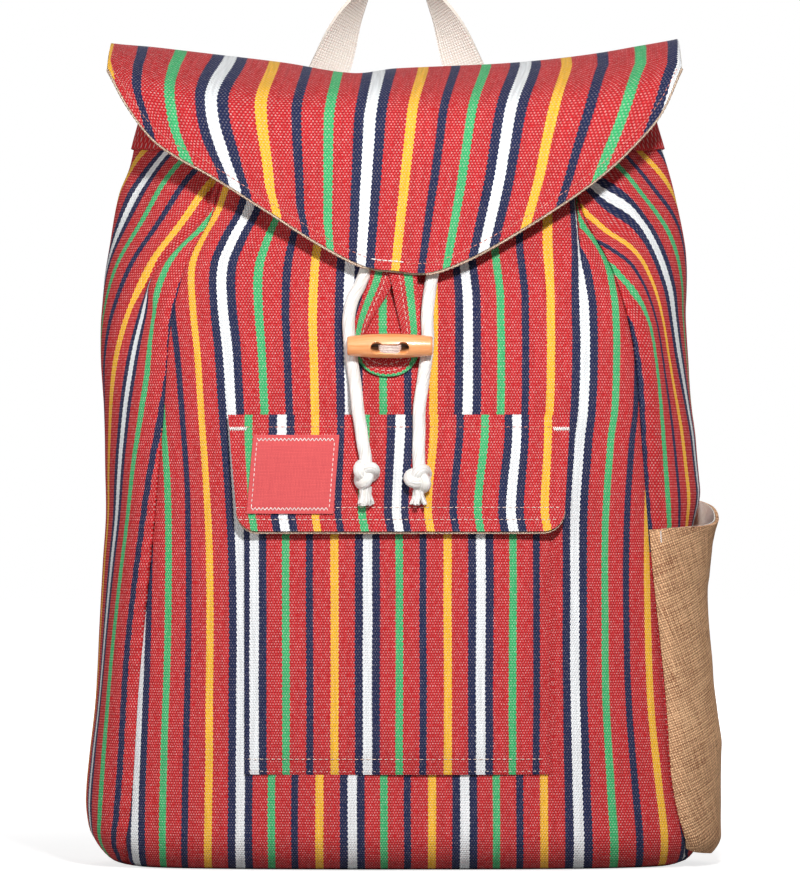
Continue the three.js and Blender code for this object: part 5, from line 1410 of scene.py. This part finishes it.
# Boxes with diagonals, sewn through the ends of the webbing
BOX = [(-1, -1), (1, -1), (1, 1), (-1, 1), (-1, -1), (1, 1), (1, -1), (-1, 1)]
BOX_HALF, HANDLE_BOX_HALF = 13, 7
STRAP_BOXES = [(0.008, 0.045), (0.955, 0.992)]  # shares of a strap's length
HANDLE_BOX = (0.022, 0.075)  # shares of the flap's length
WEBBING_FACE = WEBBING * 0.91 + 0.15  # height of the stitches on it
# Stitches: length, pitch and width of plain ones, and breadth, pitch and width of zigzags
SEAM_STITCH, LABEL_STITCH = (1.9, 3.0, 0.36), (1.6, 2.6, 0.42)
LOOP_STITCH, BOX_STITCH = (2.4, 2.8, 0.75), (1.9, 2.7, 0.5)
BAR_TACK, SIDE_TACK, LABEL_ZIGZAG = (1.9, 1.1, 0.6), (0.9, 1.1, 0.5), (1.5, 2.0, 0.42)
BAR_TACK_LIFT, SIDE_TACK_LIFT, LABEL_STITCH_LIFT = 0.4, 0.3, 0.15  # of their thick rows off the cloth
TACK_V = (0.955, 0.995)  # shares of the side pocket's height


def pocket_flap_row(z, half):
    return row_on(over_pocket, np.linspace(-half, half, 200), z, POCKET_FLAP_FACE + ON_CLOTH)


def hem_row(first, last, count):
    """Row beside the flap's hanging edge."""
    u = np.linspace(first, last, count)
    v = 1 - HEM / (profile_length * flap_reach(u, 1))
    return row_on(on_flap, u, v, FLAP_FACE + ON_CLOTH + flap_waves(u, v))


def box_stitches(place):
    """Rows of stitches round a rectangle and along its diagonals; place takes p and q from -1 to 1."""
    sides = [np.linspace(start, end, 30).T for start, end in zip(BOX[:-1], BOX[1:])]
    return [running_stitches(row_on(place, *side, 0), *BOX_STITCH) for side in sides]


def on_strap_end(side, ends, p, q, lift):
    return off_strap_line(side, mix(*ends, (q + 1) / 2), p * BOX_HALF, WEBBING_FACE + lift)


def on_handle_end(side, p, q, lift):
    u = (side * HANDLE_SEAM_HALF_SPAN + p * HANDLE_BOX_HALF) / FLAP_SEAM_HALF_WIDTH
    return on_flap(u, mix(*HANDLE_BOX, (q + 1) / 2), FLAP_FACE + LAY + WEBBING_FACE + lift)


add_stitches("pocket_flap_stitching", pale_thread,
             *(running_stitches(pocket_flap_row(*row)) for row in POCKET_FLAP_ROWS))
add_stitches("pocket_flap_seam_stitching", rose_thread,
             running_stitches(pocket_flap_row(*POCKET_FLAP_SEAM_ROW), *SEAM_STITCH))
places = [np.linspace(*ends, 20) for ends in BAR_TACKS]
rows = [row_on(over_pocket, place, BAR_TACK_Z, POCKET_FLAP_FACE + BAR_TACK_LIFT) for place in places]
add_stitches("pocket_flap_bar_tacks", white_thread, *(zigzag_stitches(row, *BAR_TACK) for row in rows))
x = np.linspace(-POCKET_ROW_HALF, POCKET_ROW_HALF, 200)
rows = [row_on(on_front, x, z, LAY + CANVAS + rise) for z, rise in POCKET_ROWS]
add_stitches("pocket_stitching", pale_thread, *(running_stitches(row) for row in rows))
p, q = np.linspace(*LABEL_COLUMNS, 60), np.linspace(-LABEL_SIDE, LABEL_SIDE, 60)
rows = [row_on(on_label, p, height, LABEL_FACE + LABEL_STITCH_LIFT) for height in LABEL_ROWS]
columns = [row_on(on_label, place, q, LABEL_FACE + LABEL_STITCH_LIFT) for place in LABEL_COLUMNS]
add_stitches("label_stitching", white_thread, *(zigzag_stitches(row, *LABEL_ZIGZAG) for row in rows),
             *(running_stitches(column, *LABEL_STITCH) for column in columns))
hem_stitching = add_stitches("flap_hem_stitching", rose_thread,
                             running_stitches(hem_row(HEM_ENDS[0], LOOP_SEAM[0], 300)),
                             running_stitches(hem_row(LOOP_SEAM[1], HEM_ENDS[1], 300)))
loop_seam_stitching = add_stitches("loop_seam_stitching", white_thread,
                                   running_stitches(hem_row(*LOOP_SEAM, 40), *LOOP_STITCH))
tack_lift = mix(BURLAP_SEAM[1], BURLAP_FOOT + BURLAP + BURLAP_HEM, smooth(0, SEAM_TAPER, TACK_U))
tack = row_on(on_side_pocket, TACK_U, np.linspace(*TACK_V, 12), tack_lift + SIDE_TACK_LIFT)
add_stitches("side_pocket_bar_tack", white_thread, zigzag_stitches(tack, *SIDE_TACK))
boxes = []
for side in (-1, 1):
    for ends in STRAP_BOXES:
        boxes += box_stitches(lambda *at: on_strap_end(side, ends, *at))
    boxes += box_stitches(lambda *at: on_handle_end(side, *at))
add_stitches("webbing_stitching", pale_thread, *boxes)
seam = row_on(on_flap, np.linspace(-FLAP_SEAM_HALF, FLAP_SEAM_HALF, 300), FLAP_SEAM_ROW, FLAP_FACE + ON_CLOTH)
add_stitches("flap_seam_stitching", pale_thread, running_stitches(seam))

# The two flaps, canvas and lining sewn together and held along one edge: their areas over the surface, and
# the pocket flap's flat size


def cut_area(place, u, v):
    """Area of a sheet's surface over a grid of its two parameters, from each cell's crossed diagonals."""
    grid = place(*np.meshgrid(u, v), 0)
    diagonals = grid[1:, 1:] - grid[:-1, :-1], grid[1:, :-1] - grid[:-1, 1:]
    return np.linalg.norm(np.cross(*diagonals), axis=-1).sum() / 2


area = cut_area(on_flap, np.linspace(-1, 1, 160), np.linspace(0, 1, 160))
area = cut_area(on_pocket_flap, flap_columns, np.linspace(0, 1, 40))
flat = (2 * POCKET_FLAP_HALF - POCKET_FLAP_LEFT_INSET[1], POCKET_FLAP_TOP - POCKET_FLAP_BOTTOM)

# Light: a small key lamp in front, soft lamps at both sides and behind, and a white room

LAMPS = {  # place, height of what it lights on the bag's axis, width, in metres, and power in watts
    "key_lamp": ((0.13, -0.96, 0.68), 0.24, 0.09, 10.3),
    "fill_lamp": ((-2.0, -1.3, 0.8), 0.22, 1.0, 17),
    "side_lamp": ((2.3, 0.7, 0.9), 0.22, 1.2, 8),
    "rear_lamp": ((0.3, 2.4, 1.0), 0.22, 1.5, 28),
}
ROOM_LIGHT = 0.13  # of the white room on the bag, where 1 is what the camera sees of it
WHITE = (1, 1, 1, 1)

for name, (place, aim, size, power) in LAMPS.items():
    data = bpy.data.lights.new(name, "AREA")
    data.size, data.energy = size, power
    lamp = add_object(name, data)
    x, y, z = np.array([0, 0, aim]) - place
    lamp.location = place
    lamp.rotation_euler = (np.arctan2(np.hypot(x, y), -z), 0, np.arctan2(y, x) - np.pi / 2)

world = bpy.data.worlds.new("white_room")
bpy.context.scene.world = world
add = start_nodes(world)
rays = add("LightPath").node.outputs
seen = add("Math", [rays["Is Camera Ray"], rays["Is Glossy Ray"]], operation="MAXIMUM")
shown = add("Math", [seen, rays["Is Transmission Ray"]], operation="MAXIMUM")
strength = add("MapRange", [shown, 0.0, 1.0, ROOM_LIGHT, 1.0])
room = add("Background", {"Color": WHITE, "Strength": strength})
add("OutputWorld", {"Surface": room})

# Floor: matt white paper that keeps the bag's shadow

FLOOR_GLOW = (0.74, 0.97)  # what the camera sees of it where no lamp reaches, beside the bag and far away
GLOW_REACH = (0.15, 0.7)  # distances from the bag's middle between which it grows, in metres
FLOOR_HALF = 6.0

material, add = start_material("white_paper_floor")
rays = add("LightPath").node.outputs
bright = add("BsdfDiffuse", {"Color": linear("#a8a8a8")})
quiet = add("BsdfDiffuse", {"Color": linear("#b4b4b4")})
away = add("VectorMath", [add("TexCoord", out="Object")], "Value", operation="LENGTH")
level = add("MapRange", [away, *GLOW_REACH, *FLOOR_GLOW], interpolation_type="SMOOTHSTEP")
glow = add("Emission", {"Color": WHITE, "Strength": level})
seen = add("AddShader", [quiet, glow])
paper = add("MixShader", [rays["Is Camera Ray"], bright, seen])
add("OutputMaterial", {"Surface": paper})
mesh = bpy.data.meshes.new("floor")
corners = [(-FLOOR_HALF, -FLOOR_HALF, 0), (FLOOR_HALF, -FLOOR_HALF, 0), (FLOOR_HALF, FLOOR_HALF, 0),
           (-FLOOR_HALF, FLOOR_HALF, 0)]
mesh.from_pydata(corners, [], [(0, 1, 2, 3)])
mesh.materials.append(material)
floor = add_object("floor", mesh)
floor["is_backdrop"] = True

bpy.context.scene.view_settings.view_transform = "Standard"

visual_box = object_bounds()
boxes = {"cad": [list(corner) for corner in cad_box], "visual": [list(corner) for corner in visual_box]}
